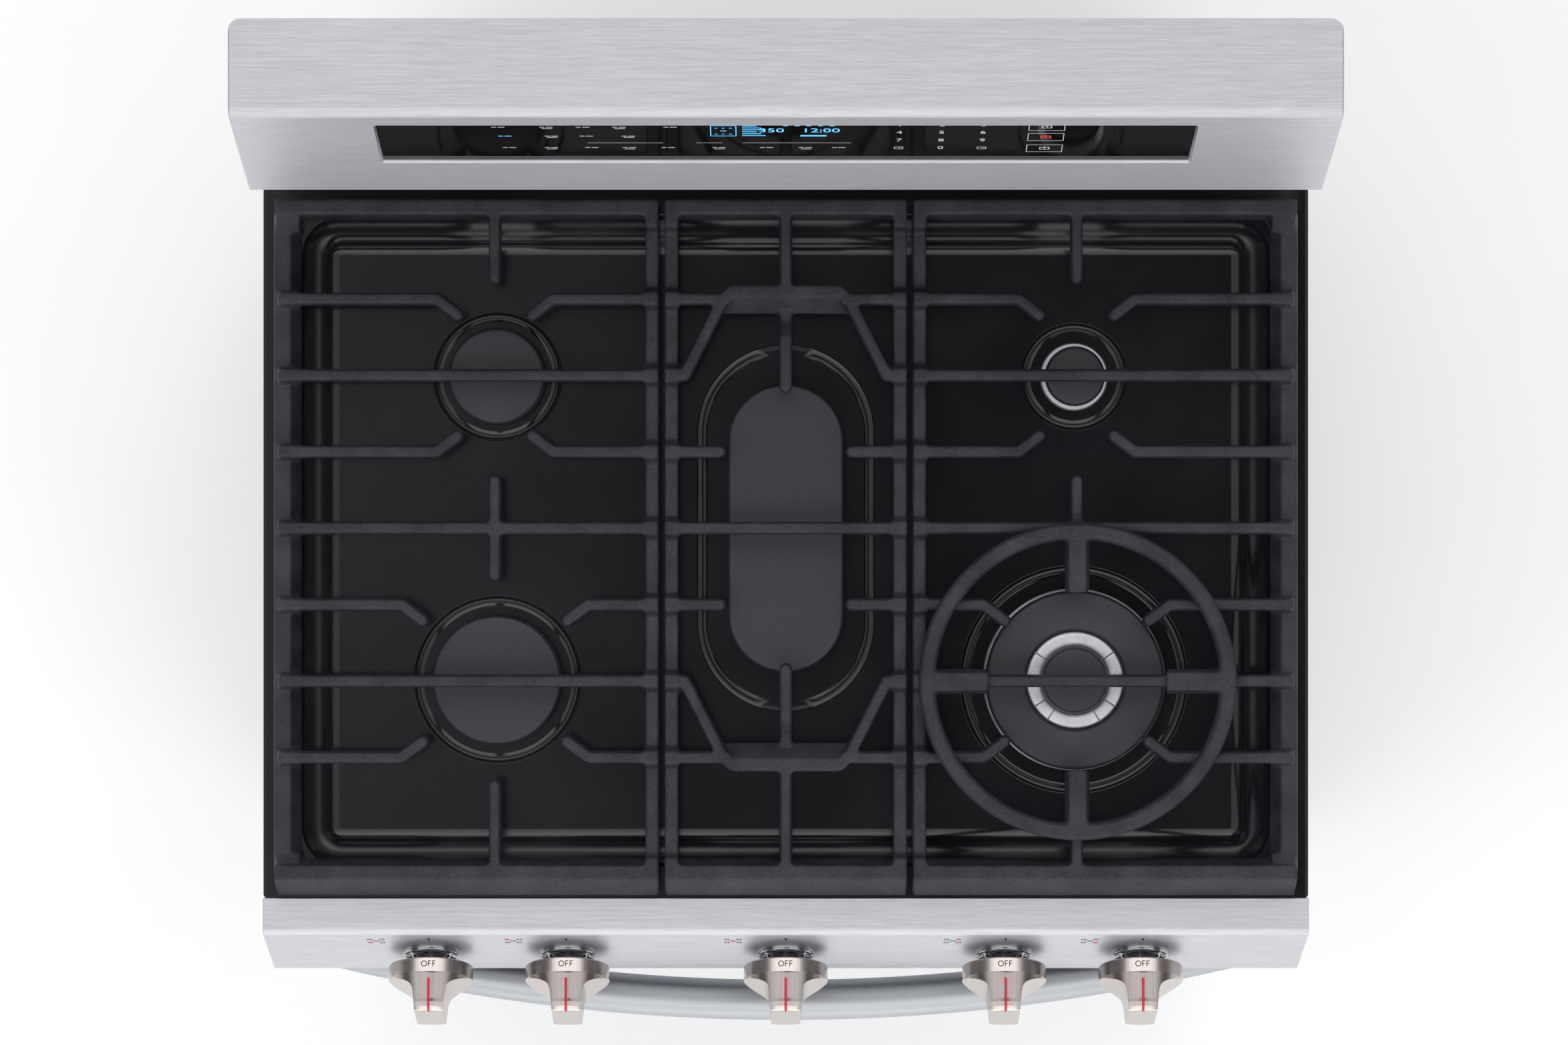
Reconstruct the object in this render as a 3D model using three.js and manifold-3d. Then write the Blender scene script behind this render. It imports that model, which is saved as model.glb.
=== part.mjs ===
// Freestanding gas range, millimetres, +Z up, the front faces -Y, the feet stand on z = 0.
import * as THREE from 'three';
import { mergeVertices } from 'three/addons/utils/BufferGeometryUtils.js';
import Module from 'manifold-3d';

const wasm = await Module();
wasm.setup();

// ---- Driving dimensions ----
const HALF_W = 379.5;          // half the width of a 30 inch range
const REAR_Y = 358.5;          // outside of the rear panel
const SHEET = 2;               // sheet metal thickness, drawn a little heavy
const RIM_Z = 925;             // cooktop rim above the floor
const TOP_Z = 1197;            // top of the backguard
const BASE_Z = 57.6;           // underside of the base plate
const DECK_Z = 256;            // underside of the deck between drawer and oven
const BODY_FRONT = -236;       // front plane of the body, behind the door

const FLOOR_Z = 903;           // floor of the cooktop well
const GRATE_Z = 952;           // top of every grate bar
const BAR_DEPTH = 14;
const BAR_TOP_W = 7.6;
const BAR_FOOT_W = 9.6;
const ROW_PITCH = 55.2;        // pitch of the seven rows of bars
const MID_Y = 8.5;             // middle row of bars
const COLUMN_X = 210;          // side burner columns
const BURNER_DY = 110.4;       // burner rows ahead of and behind the middle

const DOOR_FACE = -283.5;
const DOOR_BACK = -240;
const DOOR_Z0 = 268;
const DOOR_Z1 = 815;
const HINGE_Y = -268.5;        // the door swings about this line, along X
const HINGE_Z = 276;

const HANDLE_Z = 800;
const HANDLE_R = 15;
const HANDLE_FRONT = -358.9;
const HANDLE_BOW_R = 1432;
const HANDLE_END = 352;

const KNOB_X = [-260, -160, 0, 160, 260];
const KNOB_NAME = ['left_front', 'left_rear', 'centre', 'right_rear', 'right_front'];
const KNOB_Y = -302.3;         // knob axis where it meets the slanted panel face
const KNOB_Z = 876;
const KNOB_R = 30.8;
const KNOB_BASE = 11.3;
const KNOB_TIP = 50;
const PANEL_TILT = 0.3184;     // radians the slanted face leans back from vertical

const FACE_TILT = 0.2515;      // the same for the backguard face
const FACE_TOP_Y = 289.5;

// ---- Solid helpers ----
const X = new THREE.Vector3(1, 0, 0);
const Y = new THREE.Vector3(0, 1, 0);
const Z = new THREE.Vector3(0, 0, 1);

function solid(geometry, matrix) {
  const bare = geometry.clone();
  bare.deleteAttribute('normal');
  bare.deleteAttribute('uv');
  if (matrix) bare.applyMatrix4(matrix);
  const merged = mergeVertices(bare, 1e-4);
  return new wasm.Manifold(new wasm.Mesh({
    numProp: 3,
    vertProperties: merged.attributes.position.array,
    triVerts: new Uint32Array(merged.index.array),
  }));
}

function join(list) {
  return list.reduce((a, b) => a.add(b));
}

function cutAll(body, cutters) {
  return cutters.reduce((a, b) => a.subtract(b), body);
}

function box(x0, x1, y0, y1, z0, z1, matrix) {
  const g = new THREE.BoxGeometry(x1 - x0, y1 - y0, z1 - z0);
  g.translate((x0 + x1) / 2, (y0 + y1) / 2, (z0 + z1) / 2);
  return solid(g, matrix);
}

// Prism of (y, z) points along X, of (x, z) points along Y, or of (x, y) points along Z.
function prism(axis, points, from, to, matrix) {
  const shape = new THREE.Shape(points.map(([u, v]) => new THREE.Vector2(u, v)));
  const g = new THREE.ExtrudeGeometry(shape, { depth: to - from, bevelEnabled: false });
  const turn = new THREE.Matrix4();
  if (axis === 'x') turn.makeBasis(Y, Z, X).setPosition(from, 0, 0);
  if (axis === 'y') turn.makeBasis(X, Z, new THREE.Vector3(0, -1, 0)).setPosition(0, to, 0);
  if (axis === 'z') turn.setPosition(0, 0, from);
  g.applyMatrix4(turn);
  return solid(g, matrix);
}

// Solid of revolution from (radius, height) points that start and end on the axis or close on themselves.
function turned(profile, segments, at = [0, 0, 0], axis = Z, matrix) {
  const place = new THREE.Matrix4().compose(
    new THREE.Vector3(...at),
    new THREE.Quaternion().setFromUnitVectors(Y, axis),
    new THREE.Vector3(1, 1, 1),
  );
  const make = (pts) => {
    const g = new THREE.LatheGeometry(pts.map(([r, h]) => new THREE.Vector2(r, h)), segments);
    g.applyMatrix4(place);
    return solid(g, matrix);
  };
  const first = make(profile);
  return first.volume() > 0 ? first : make([...profile].reverse());
}

function rod(radius, from, to, segments = 12, endRadius = radius) {
  const a = new THREE.Vector3(...from);
  const b = new THREE.Vector3(...to);
  const axis = b.clone().sub(a).normalize();
  const length = a.distanceTo(b);
  return turned([[0, 0], [radius, 0], [endRadius, length], [0, length]], segments, from, axis);
}

// Fillets every corner of a polygon whose radius is over zero.
function filleted(corners, steps = 3) {
  const out = [];
  corners.forEach(([x, y, r = 0], i) => {
    if (!r) {
      out.push([x, y]);
      return;
    }
    const here = new THREE.Vector2(x, y);
    const [px, py] = corners[(i + corners.length - 1) % corners.length];
    const [nx, ny] = corners[(i + 1) % corners.length];
    const back = new THREE.Vector2(px - x, py - y).normalize();
    const ahead = new THREE.Vector2(nx - x, ny - y).normalize();
    const half = Math.acos(back.dot(ahead)) / 2;
    const reach = r / Math.tan(half);
    const start = here.clone().addScaledVector(back, reach);
    const end = here.clone().addScaledVector(ahead, reach);
    const curve = new THREE.QuadraticBezierCurve(start, here, end);
    curve.getPoints(steps).forEach((p) => out.push([p.x, p.y]));
  });
  return out;
}

function roundRect(x0, x1, y0, y1, r, steps) {
  const pts = [];
  const centres = [[x1 - r, y1 - r], [x0 + r, y1 - r], [x0 + r, y0 + r], [x1 - r, y0 + r]];
  centres.forEach(([cx, cy], quarter) => {
    for (let i = 0; i <= steps; i += 1) {
      const a = (quarter + i / steps) * Math.PI / 2;
      pts.push([cx + r * Math.cos(a), cy + r * Math.sin(a)]);
    }
  });
  return pts;
}

// Closed solid through level rings of equal point count, lowest first.
function loft(rings) {
  const count = rings[0].points.length;
  const position = [];
  const index = [];
  rings.forEach(({ points, z }) => points.forEach(([x, y]) => position.push(x, y, z)));
  for (let k = 0; k + 1 < rings.length; k += 1) {
    for (let i = 0; i < count; i += 1) {
      const j = (i + 1) % count;
      const a = k * count + i;
      const b = k * count + j;
      index.push(a, b, b + count, a, b + count, a + count);
    }
  }
  const top = (rings.length - 1) * count;
  for (let i = 1; i + 1 < count; i += 1) {
    index.push(0, i + 1, i);
    index.push(top, top + i, top + i + 1);
  }
  const g = new THREE.BufferGeometry();
  g.setAttribute('position', new THREE.Float32BufferAttribute(position, 3));
  g.setIndex(index);
  return solid(g);
}

// ---- Finishes ----
const FINISH = {
  stainless: { color: 0xcdcfd3, roughness: 0.38, metalness: 1 },
  nickel: { color: 0xc9c0bb, roughness: 0.34, metalness: 1 },
  enamel: { color: 0x1b1c20, roughness: 0.22, metalness: 0 },
  capEnamel: { color: 0x3a3b3f, roughness: 0.55, metalness: 0 },
  castIron: { color: 0x35363b, roughness: 0.62, metalness: 0 },
  cavityEnamel: { color: 0x33353c, roughness: 0.35, metalness: 0 },
  aluminium: { color: 0xb9bbbd, roughness: 0.42, metalness: 1 },
  galvanised: { color: 0x9b9fa3, roughness: 0.5, metalness: 1 },
  chrome: { color: 0xd8dadc, roughness: 0.15, metalness: 1 },
  blackGlass: { color: 0x0c0d10, roughness: 0.08, metalness: 0 },
  brass: { color: 0xb08d4a, roughness: 0.4, metalness: 1 },
  board: { color: 0x1f5a3c, roughness: 0.6, metalness: 0 },
  gasket: { color: 0x6d6f72, roughness: 0.9, metalness: 0 },
  paint: { color: 0x2a2b2e, roughness: 0.5, metalness: 0 },
};

const range = new THREE.Group();
range.name = 'freestanding_gas_range';

function piece(name, body, finish, matrix) {
  const mesh = body.getMesh();
  const g = new THREE.BufferGeometry();
  g.setAttribute('position', new THREE.BufferAttribute(Float32Array.from(mesh.vertProperties), 3));
  g.setIndex(new THREE.BufferAttribute(Uint32Array.from(mesh.triVerts), 1));
  if (matrix) g.applyMatrix4(matrix);
  const flat = g.toNonIndexed();
  flat.computeVertexNormals();
  const made = new THREE.Mesh(flat, new THREE.MeshStandardMaterial(FINISH[finish]));
  made.name = name;
  range.add(made);
}

// Local frame on a leaning face: x across, y up the face, z out of it.
function leaningFrame(x, y, z, tilt) {
  const up = new THREE.Vector3(0, Math.sin(tilt), Math.cos(tilt));
  const out = new THREE.Vector3(0, -Math.cos(tilt), Math.sin(tilt));
  return new THREE.Matrix4().makeBasis(X, up, out).setPosition(x, y, z);
}

// ---- Levelling legs: threaded stem with a round foot ----
[['left_front', -340, -200], ['right_front', 340, -200],
  ['left_rear', -340, 270], ['right_rear', 340, 270]].forEach(([name, x, y]) => {
  const profile = [[0, 0], [20, 0], [20, 5], [7, 9], [7, 57.2], [0, 57.2]];
  piece(`leg_${name}`, turned(profile, 14, [x, y, 0]), 'paint');
});

// ---- Base frame: box round the drawer, with drawer channels and the two door hinge lugs ----
function baseFrame() {
  const parts = [
    box(-376, 376, -230, 300, BASE_Z, BASE_Z + SHEET),
    box(-376, 376, -236, 300, DECK_Z, DECK_Z + SHEET),
    box(-348, 348, 298, 300, BASE_Z, DECK_Z + SHEET),
  ];
  [-1, 1].forEach((s) => {
    const wall = [346 * s, 348 * s].sort((a, b) => a - b);
    const rail = [334 * s, 346.5 * s].sort((a, b) => a - b);
    const lug = [356 * s, 362 * s].sort((a, b) => a - b);
    parts.push(box(...wall, -230, 299, BASE_Z, DECK_Z + SHEET));
    parts.push(box(...rail, -230, 280, 150, 152));
    parts.push(box(...rail, -230, 280, 158, 160));
    const outline = [[-276.5, 268.5], [-258, 268.5], [-252, 266], [-252, 257], [-230, 257],
      [-230, 283.5], [-276.5, 283.5]];
    parts.push(prism('x', outline, ...lug));
  });
  const pins = [-1, 1].map((s) => rod(4.6, [350 * s, HINGE_Y, HINGE_Z], [370 * s, HINGE_Y, HINGE_Z], 14));
  return cutAll(join(parts), pins);
}
piece('base_frame', baseFrame(), 'galvanised');

// ---- Warming drawer: steel front on a pressed box that runs in the channels ----
function drawerFront() {
  const outer = box(-378, 378, DOOR_FACE, -262, 62, 254.5);
  const hollow = box(-376, 376, DOOR_FACE + SHEET, -250, 64, 252.5);
  const lip = prism('x', [[-290, 240], [-290, 262], [-272, 262], [-272, 250]], -379, 379);
  const lipSkin = prism('x', [[DOOR_FACE, 238], [-272, 249], [-266, 249], [-266, 246.6], [-271, 246.6],
    [-281.6, 236]], -376.5, 376.5);
  return outer.subtract(hollow).subtract(lip).add(lipSkin);
}
piece('drawer_front', drawerFront(), 'stainless');

function drawerBox() {
  const outer = box(-330, 330, -279, 220, 78, 220);
  const inner = box(-328, 328, -277, 218, 80, 230);
  const rails = [-1, 1].map((s) => {
    const span = [329 * s, 343 * s].sort((a, b) => a - b);
    return box(...span, -228, 210, 153.2, 156.6);
  });
  return join([outer.subtract(inner), ...rails]);
}
piece('drawer_box', drawerBox(), 'galvanised');

// ---- Side panels: folded painted sheets on both sides of the body ----
[['left', -1], ['right', 1]].forEach(([name, s]) => {
  const span = (a, b) => [a * s, b * s].sort((p, q) => p - q);
  const body = join([
    box(...span(377.5, HALF_W), BODY_FRONT, 356, 60, 904.5),
    box(...span(362, 378), BODY_FRONT + 4, 356, 60, 62),
    box(...span(365, 378), 354, 356, 60, 904.5),
  ]);
  piece(`side_panel_${name}`, body, 'paint');
});

// ---- Oven cavity: enamelled box with rack ledges, floor slots and the front flange ----
const CAVITY = { x: 300, y0: -234, y1: 300, z0: 300, z1: 760 };
const LEDGES = [372, 432, 492, 552, 612];
const FAN_Z = 520;

function ovenCavity() {
  const { x, y0, y1, z0, z1 } = CAVITY;
  const shell = box(-x - SHEET, x + SHEET, y0, y1 + SHEET, z0 - SHEET, z1 + SHEET);
  const flange = box(-376.8, 376.8, BODY_FRONT, y0, DECK_Z + SHEET + 0.4, 822);
  const ledges = [-1, 1].flatMap((s) => LEDGES.map((z) => {
    const span = [286 * s, (x + 1) * s].sort((a, b) => a - b);
    return box(...span, -205, 270, z, z + 5);
  }));
  const lugSlots = [-1, 1].map((s) => {
    const span = [354 * s, 364 * s].sort((a, b) => a - b);
    return box(...span, -240, -232, 250, 288);
  });
  const slots = [];
  [-1, 1].forEach((s) => {
    for (let y = -170; y <= 230; y += 80) {
      slots.push(box(258 * s - 6, 258 * s + 6, y - 25, y + 25, z0 - 5, z0 + 1));
    }
  });
  const hollow = box(-x, x, y0 - 10, y1, z0, z1);
  const bore = rod(7, [0, y1 - 5, FAN_Z], [0, y1 + 10, FAN_Z], 14);
  return cutAll(shell.add(flange).subtract(hollow).add(join(ledges)), [...slots, ...lugSlots, bore]);
}
piece('oven_cavity', ovenCavity(), 'cavityEnamel');

// ---- Door gasket: braided ring on the cavity flange ----
const gasketOuter = loft([-1, 1].map((k) => ({ points: roundRect(-324, 324, 285, 784, 20, 4), z: k * 1.65 })));
const gasketInner = loft([-1, 1].map((k) => ({ points: roundRect(-316, 316, 293, 776, 14, 4), z: k * 3 })));
piece('door_gasket', gasketOuter.subtract(gasketInner), 'gasket',
  new THREE.Matrix4().makeBasis(X, Z, new THREE.Vector3(0, -1, 0)).setPosition(0, -238.05, 0));

// ---- Bake burner under the cavity floor and broil burner under its roof ----
function hairpin(z, halfWidth, y0, y1, r) {
  const bars = [-1, 1].map((s) => rod(r, [halfWidth * s, y0, z], [halfWidth * s, y1, z], 10));
  bars.push(rod(r, [-halfWidth - r * 0.6, y0, z], [halfWidth + r * 0.6, y0, z], 10));
  return join(bars);
}
piece('bake_burner', join([
  hairpin(279, 200, -150, 250, 9),
  box(-6, 6, -156, -144, 258.4, 276),
  box(-206, -194, 226, 238, 258.4, 276),
  box(194, 206, 226, 238, 258.4, 276),
]), 'aluminium');
piece('broil_burner', join([
  hairpin(738, 90, -150, 280, 9),
  rod(9, [-90, 60, 738], [90, 60, 738], 10),
  box(-30, -22, -156, -144, 740, 759.6),
  box(22, 30, -156, -144, 740, 759.6),
]), 'aluminium');

// ---- Convection fan: motor behind the rear wall, blade wheel inside a slotted cover ----
piece('fan_motor', turned([[0, 303], [34, 303], [34, 342], [0, 342]], 20, [0, 0, FAN_Z], Y)
  .subtract(rod(5.2, [0, 300, FAN_Z], [0, 325, FAN_Z], 12)), 'galvanised');

function fanCover() {
  const cup = turned([[0, 262], [100, 262], [112, 272], [112, 299.6], [0, 299.6]], 20, [0, 0, FAN_Z], Y);
  const hollow = turned([[0, 264], [99, 264], [110, 273], [110, 305], [0, 305]], 20, [0, 0, FAN_Z], Y);
  const slots = [];
  for (let k = 0; k < 10; k += 1) {
    const turn = new THREE.Matrix4().makeRotationY(k * Math.PI / 5).setPosition(0, 0, FAN_Z);
    slots.push(box(30, 88, 255, 268, -5, 5, turn));
  }
  return cutAll(cup.subtract(hollow), slots);
}
piece('fan_cover', fanCover(), 'cavityEnamel');

function fanBlade() {
  const hub = turned([[0, 270], [12, 270], [12, 294], [4.6, 294], [4.6, 322], [0, 322]], 14, [0, 0, FAN_Z], Y);
  const plate = turned([[0, 290], [60, 290], [60, 291.6], [0, 291.6]], 20, [0, 0, FAN_Z], Y);
  const blades = [];
  for (let k = 0; k < 8; k += 1) {
    const turn = new THREE.Matrix4().makeRotationY(k * Math.PI / 4).setPosition(0, 0, FAN_Z);
    blades.push(box(34, 72, 272, 291, -0.9, 0.9, turn));
  }
  return join([hub, plate, ...blades]);
}
piece('fan_blade', fanBlade(), 'galvanised');

// ---- Oven racks: chromed wire, side wires rest on the ledges ----
function ovenRack(ledge) {
  const z = ledge + 5 + 3.4;
  const wires = [-1, 1].map((s) => rod(3, [291 * s, -200, z], [291 * s, 252, z], 6));
  [-200, 25, 252].forEach((y) => wires.push(rod(3, [-293, y, z], [293, y, z], 6)));
  wires.push(rod(3, [-288, 252, z + 14], [288, 252, z + 14], 6));
  [-280, 0, 280].forEach((x) => wires.push(rod(2.4, [x, 252, z], [x, 252, z + 14], 4)));
  for (let k = -4; k <= 4; k += 1) {
    wires.push(rod(2.2, [k * 58, -200, z + 3.6], [k * 58, 252, z + 3.6], 4));
  }
  return join(wires);
}
piece('oven_rack_lower', ovenRack(LEDGES[0]), 'chrome');
piece('oven_rack_upper', ovenRack(LEDGES[3]), 'chrome');

// ---- Oven door: steel skin, black window, enamelled liner, inner glass, hinges ----
const LUG_NOTCH = [[-368, -350], [350, 368]];

function doorSkin() {
  const outer = box(-378, 378, DOOR_FACE, -262, DOOR_Z0, DOOR_Z1);
  const hollow = box(-376, 376, DOOR_FACE + SHEET, -255, DOOR_Z0 + SHEET, DOOR_Z1 - SHEET);
  const window = box(-215, 215, -290, -275, 450, 650);
  const notches = LUG_NOTCH.map(([a, b]) => box(a, b, DOOR_FACE + SHEET, -255, 260, 275));
  return cutAll(outer, [hollow, window, ...notches]);
}
piece('door_skin', doorSkin(), 'stainless');
piece('door_window', box(-228, 228, -281.1, -277.1, 437, 663), 'blackGlass');

function doorLiner() {
  const tray = box(-376, 376, -261.6, DOOR_BACK, 270, 813)
    .subtract(box(-374, 374, -270, DOOR_BACK - SHEET, 272, 811));
  const plug = box(-285, 285, DOOR_BACK - SHEET, -230, 312, 748);
  const plugHollow = box(-283, 283, -250, -232, 314, 746);
  const window = box(-190, 190, -245, -220, 465, 635);
  const notches = LUG_NOTCH.map(([a, b]) => box(a, b, -270, -230, 260, 302));
  return cutAll(tray.add(plug), [plugHollow, window, ...notches]);
}
piece('door_liner', doorLiner(), 'cavityEnamel');
piece('door_inner_glass', box(-200, 200, -236.6, -232.4, 455, 645), 'blackGlass');

[['left', -1], ['right', 1]].forEach(([name, s]) => {
  const span = [340 * s, 344 * s].sort((a, b) => a - b);
  const plate = box(...span, -281, -243, 272.5, 345);
  const pin = rod(4, [343 * s, HINGE_Y, HINGE_Z], [366 * s, HINGE_Y, HINGE_Z], 14);
  piece(`door_hinge_${name}`, plate.add(pin), 'galvanised');
});

// ---- Door handle: bowed tube let into two end mounts ----
function handleY(x) {
  return HANDLE_FRONT + HANDLE_R + HANDLE_BOW_R - Math.sqrt(HANDLE_BOW_R ** 2 - x ** 2);
}

class Bow extends THREE.Curve {
  constructor(end) {
    super();
    this.end = end;
  }

  getPoint(t, target = new THREE.Vector3()) {
    const x = (t * 2 - 1) * this.end;
    return target.set(x, handleY(x), HANDLE_Z);
  }
}

function bowedTube(radius, end, steps) {
  const circle = new THREE.Shape();
  circle.absarc(0, 0, radius, 0, Math.PI * 2);
  const path = new Bow(end);
  const g = new THREE.ExtrudeGeometry(circle, { steps, extrudePath: path, bevelEnabled: false, curveSegments: 7 });
  return solid(g);
}
piece('door_handle', bowedTube(HANDLE_R, HANDLE_END, 14), 'stainless');

const socket = bowedTube(HANDLE_R + 0.6, HANDLE_END + 1, 14);
[['left', -1], ['right', 1]].forEach(([name, s]) => {
  const outline = filleted([[332 * s, 780.5, 4], [370 * s, 780.5, 14], [370 * s, 819.5, 14], [332 * s, 819.5, 4]], 4);
  const block = prism('y', outline, -318, DOOR_FACE - 0.4);
  piece(`handle_mount_${name}`, block.subtract(socket), 'stainless');
});

// ---- Control panel: folded steel with a slanted face, five stem holes ----
const knobFrames = KNOB_X.map((x) => leaningFrame(x, KNOB_Y, KNOB_Z, PANEL_TILT));

function controlPanel() {
  const outer = filleted([[-259.9, RIM_Z], [-286.2, RIM_Z, 4], [-318.5, 827, 2], [-317, 823.4],
    [-236.4, 823.4], [-236.4, 904], [-259.9, 904]]);
  const inner = [[-200, 923], [-284.75, 923], [-316.4, 827], [-316.2, 825.4], [-200, 825.4]];
  const holes = knobFrames.map((frame) => turned([[0, -12], [7.5, -12], [7.5, 8], [0, 8]], 14, [0, 0, 0], Z, frame));
  const body = prism('x', outer, -HALF_W, HALF_W);
  return cutAll(body, [prism('x', inner, -HALF_W + SHEET, HALF_W - SHEET), ...holes]);
}
piece('control_panel', controlPanel(), 'stainless');

// ---- Gas manifold: rail, five valves, supply line and regulator down the rear ----
const VALVE_BACK = -54;
const railFrame = knobFrames[0];
const railCentre = new THREE.Vector3(0, 0, -62).applyMatrix4(railFrame);

function gasManifold() {
  const { y, z } = railCentre;
  const parts = [
    rod(11, [-335, y, z], [345, y, z], 12),
    box(333, 357, y - 12, y + 12, z - 12, z + 12),
    rod(8, [345, y, z], [345, 330, z], 10),
    box(333, 357, 318, 342, z - 12, z + 12),
    rod(8, [345, 330, z], [345, 330, 120], 10),
    turned([[0, 306], [24, 306], [29, 312], [29, 330], [20, 345], [0, 345]], 18, [345, 0, 210], Y),
    box(333, 357, 318, 342, 108, 132),
    rod(10.5, [345, 335, 120], [345, 358.2, 120], 16),
  ];
  knobFrames.forEach((frame) => parts.push(box(-13, 13, -13, 13, VALVE_BACK, -24, frame)));
  const bores = knobFrames.map((frame) => turned([[0, -43], [3.6, -43], [3.6, -20], [0, -20]], 12, [0, 0, 0], Z, frame));
  return cutAll(join(parts), bores);
}
piece('gas_manifold', gasManifold(), 'brass');

// ---- Knobs and their valve stems ----
function valveStem() {
  const profile = [[0, -35], [3, -35], [3, -18], [5.5, -18], [5.5, -14], [3, -14], [3, 33], [0, 33]];
  return turned(profile, 8);
}

function knob() {
  const profile = [[0, KNOB_BASE], [KNOB_R - 1, KNOB_BASE], [KNOB_R, KNOB_BASE + 1], [KNOB_R, 23],
    [27.2, 43], [24.8, 48.4], [21, KNOB_TIP], [0, KNOB_TIP]];
  const body = turned(profile, 22);
  const scoop = [[10.9, 51], [11.9, 43], [13, 36], [16, 31], [22, 26.6], [32, 22.3], [40, 22.3], [40, 51]];
  const cuts = [1, -1].map((s) => prism('y', scoop.map(([x, t]) => [x * s, t]), -40, 40));
  const hollow = turned([[8, 5], [26, 5], [26, 21], [8, 21], [8, 5]], 16);
  const bore = turned([[0, 5], [3.4, 5], [3.4, 34], [0, 34]], 12);
  return cutAll(body, [...cuts, hollow, bore]);
}
knobFrames.forEach((frame, i) => {
  piece(`valve_stem_${KNOB_NAME[i]}`, valveStem(), 'aluminium', frame);
  piece(`knob_${KNOB_NAME[i]}`, knob(), 'nickel', frame);
});

// ---- Cooktop: enamelled pressing with a well, burner holes and shallow burner rings ----
const BURNERS = [
  { name: 'left_rear', x: -COLUMN_X, y: MID_Y + BURNER_DY, cap: 35, ring: 48, neck: 14 },
  { name: 'left_front', x: -COLUMN_X, y: MID_Y - BURNER_DY, cap: 47, ring: 62, neck: 18 },
  { name: 'right_rear', x: COLUMN_X, y: MID_Y + BURNER_DY, cap: 21.7, ring: 39, neck: 11 },
  { name: 'right_front', x: COLUMN_X, y: MID_Y - BURNER_DY, cap: 64, ring: 83, neck: 22 },
];
const OVAL = { x: 42, y: 104.5 };        // half sizes of the centre cap
const OVAL_RING = { x: 65, y: 134.5 };
const RECESS_Z = FLOOR_Z - 1.2;

function wellRing(grow, z, x, y0, y1, r) {
  return { z, points: roundRect(-x - grow, x + grow, y0 - grow, y1 + grow, r + grow, 4) };
}

function stadium(grow, x, y, steps) {
  return roundRect(-x - grow, x + grow, MID_Y - y - grow, MID_Y + y + grow, x + grow, steps);
}

function cooktop() {
  const y0 = -259.4;
  const y1 = 268;
  const levels = [
    [RIM_Z + 1, 350.7, -236.7, 233.7, 24],
    [911, 336, -223, 218, 18],
    [905.4, 328, -215, 208, 15],
    [FLOOR_Z, 321, -209, 201, 12],
  ];
  const inner = loft([...levels].reverse().map(([z, ...rest]) => wellRing(0, z, ...rest)));
  const outer = loft([...levels].reverse().map(([z, ...rest]) => wellRing(2, z - 2, ...rest)));
  const rim = box(-HALF_W, HALF_W, y0, y1, 905, RIM_Z)
    .subtract(box(-HALF_W + SHEET, HALF_W - SHEET, y0 + SHEET, y1 - SHEET, 900, RIM_Z - SHEET));
  const cuts = [];
  BURNERS.forEach(({ x, y, ring, neck }) => {
    cuts.push(rod(neck + 1.5, [x, y, 890], [x, y, 910], 12));
    cuts.push(rod(ring - 3.5, [x, y, RECESS_Z], [x, y, FLOOR_Z + 0.01], 24, ring));
  });
  cuts.push(loft([
    { z: RECESS_Z, points: stadium(-7.5, OVAL_RING.x, OVAL_RING.y, 6) },
    { z: FLOOR_Z + 0.01, points: stadium(0, OVAL_RING.x, OVAL_RING.y, 6) },
  ]));
  [-1, 1].forEach((s) => cuts.push(rod(13.5, [0, MID_Y + s * 62, 890], [0, MID_Y + s * 62, 910], 12)));
  const lid = box(-HALF_W, HALF_W, y0, y1, RIM_Z, RIM_Z + 20);
  return cutAll(rim.add(outer).subtract(inner).subtract(lid), cuts);
}
piece('cooktop', cooktop(), 'enamel');

// ---- Burner heads and lift-off caps ----
const HEAD_Z = RECESS_Z + 0.4;
const SEAT_Z = 915;
const CAP_Z = SEAT_Z + 0.4;

BURNERS.filter(({ name }) => name !== 'right_front').forEach(({ name, x, y, cap, neck }) => {
  const head = [[0, 880], [neck, 880], [neck, HEAD_Z], [cap + 2, HEAD_Z], [cap + 2, HEAD_Z + 3],
    [cap - 3, HEAD_Z + 4], [cap - 3, SEAT_Z], [6, SEAT_Z], [6, 906], [0, 906]];
  const lid = [[0, 908], [5.4, 908], [5.4, CAP_Z], [cap - 1, CAP_Z], [cap, CAP_Z + 1], [cap, 921],
    [cap - 2.5, 923.5], [0, 923.5]];
  piece(`burner_head_${name}`, turned(head, 18, [x, y, 0]), 'aluminium');
  piece(`burner_cap_${name}`, turned(lid, 24, [x, y, 0]), 'capEnamel');
});

const power = BURNERS[3];
piece('burner_head_right_front', turned([[0, 880], [power.neck, 880], [power.neck, HEAD_Z], [66, HEAD_Z],
  [66, HEAD_Z + 3], [60, HEAD_Z + 4], [60, SEAT_Z], [46, SEAT_Z], [46, 908], [35.4, 908], [35.4, 919.5],
  [34, 921], [26, 921], [24.8, 919.5], [24.8, SEAT_Z], [6, SEAT_Z], [6, 906], [0, 906]],
22, [power.x, power.y, 0]), 'aluminium');
piece('burner_cap_right_front', turned([[36.2, CAP_Z], [63, CAP_Z], [64, CAP_Z + 1], [64, 921],
  [61.5, 924.2], [38.5, 924.2], [36.2, 922], [36.2, CAP_Z]], 26, [power.x, power.y, 0]), 'capEnamel');
piece('burner_cap_right_front_inner', turned([[0, 908], [5.4, 908], [5.4, CAP_Z], [24, CAP_Z], [24, 922.6],
  [22, 924.6], [0, 924.6]], 20, [power.x, power.y, 0]), 'capEnamel');

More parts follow.
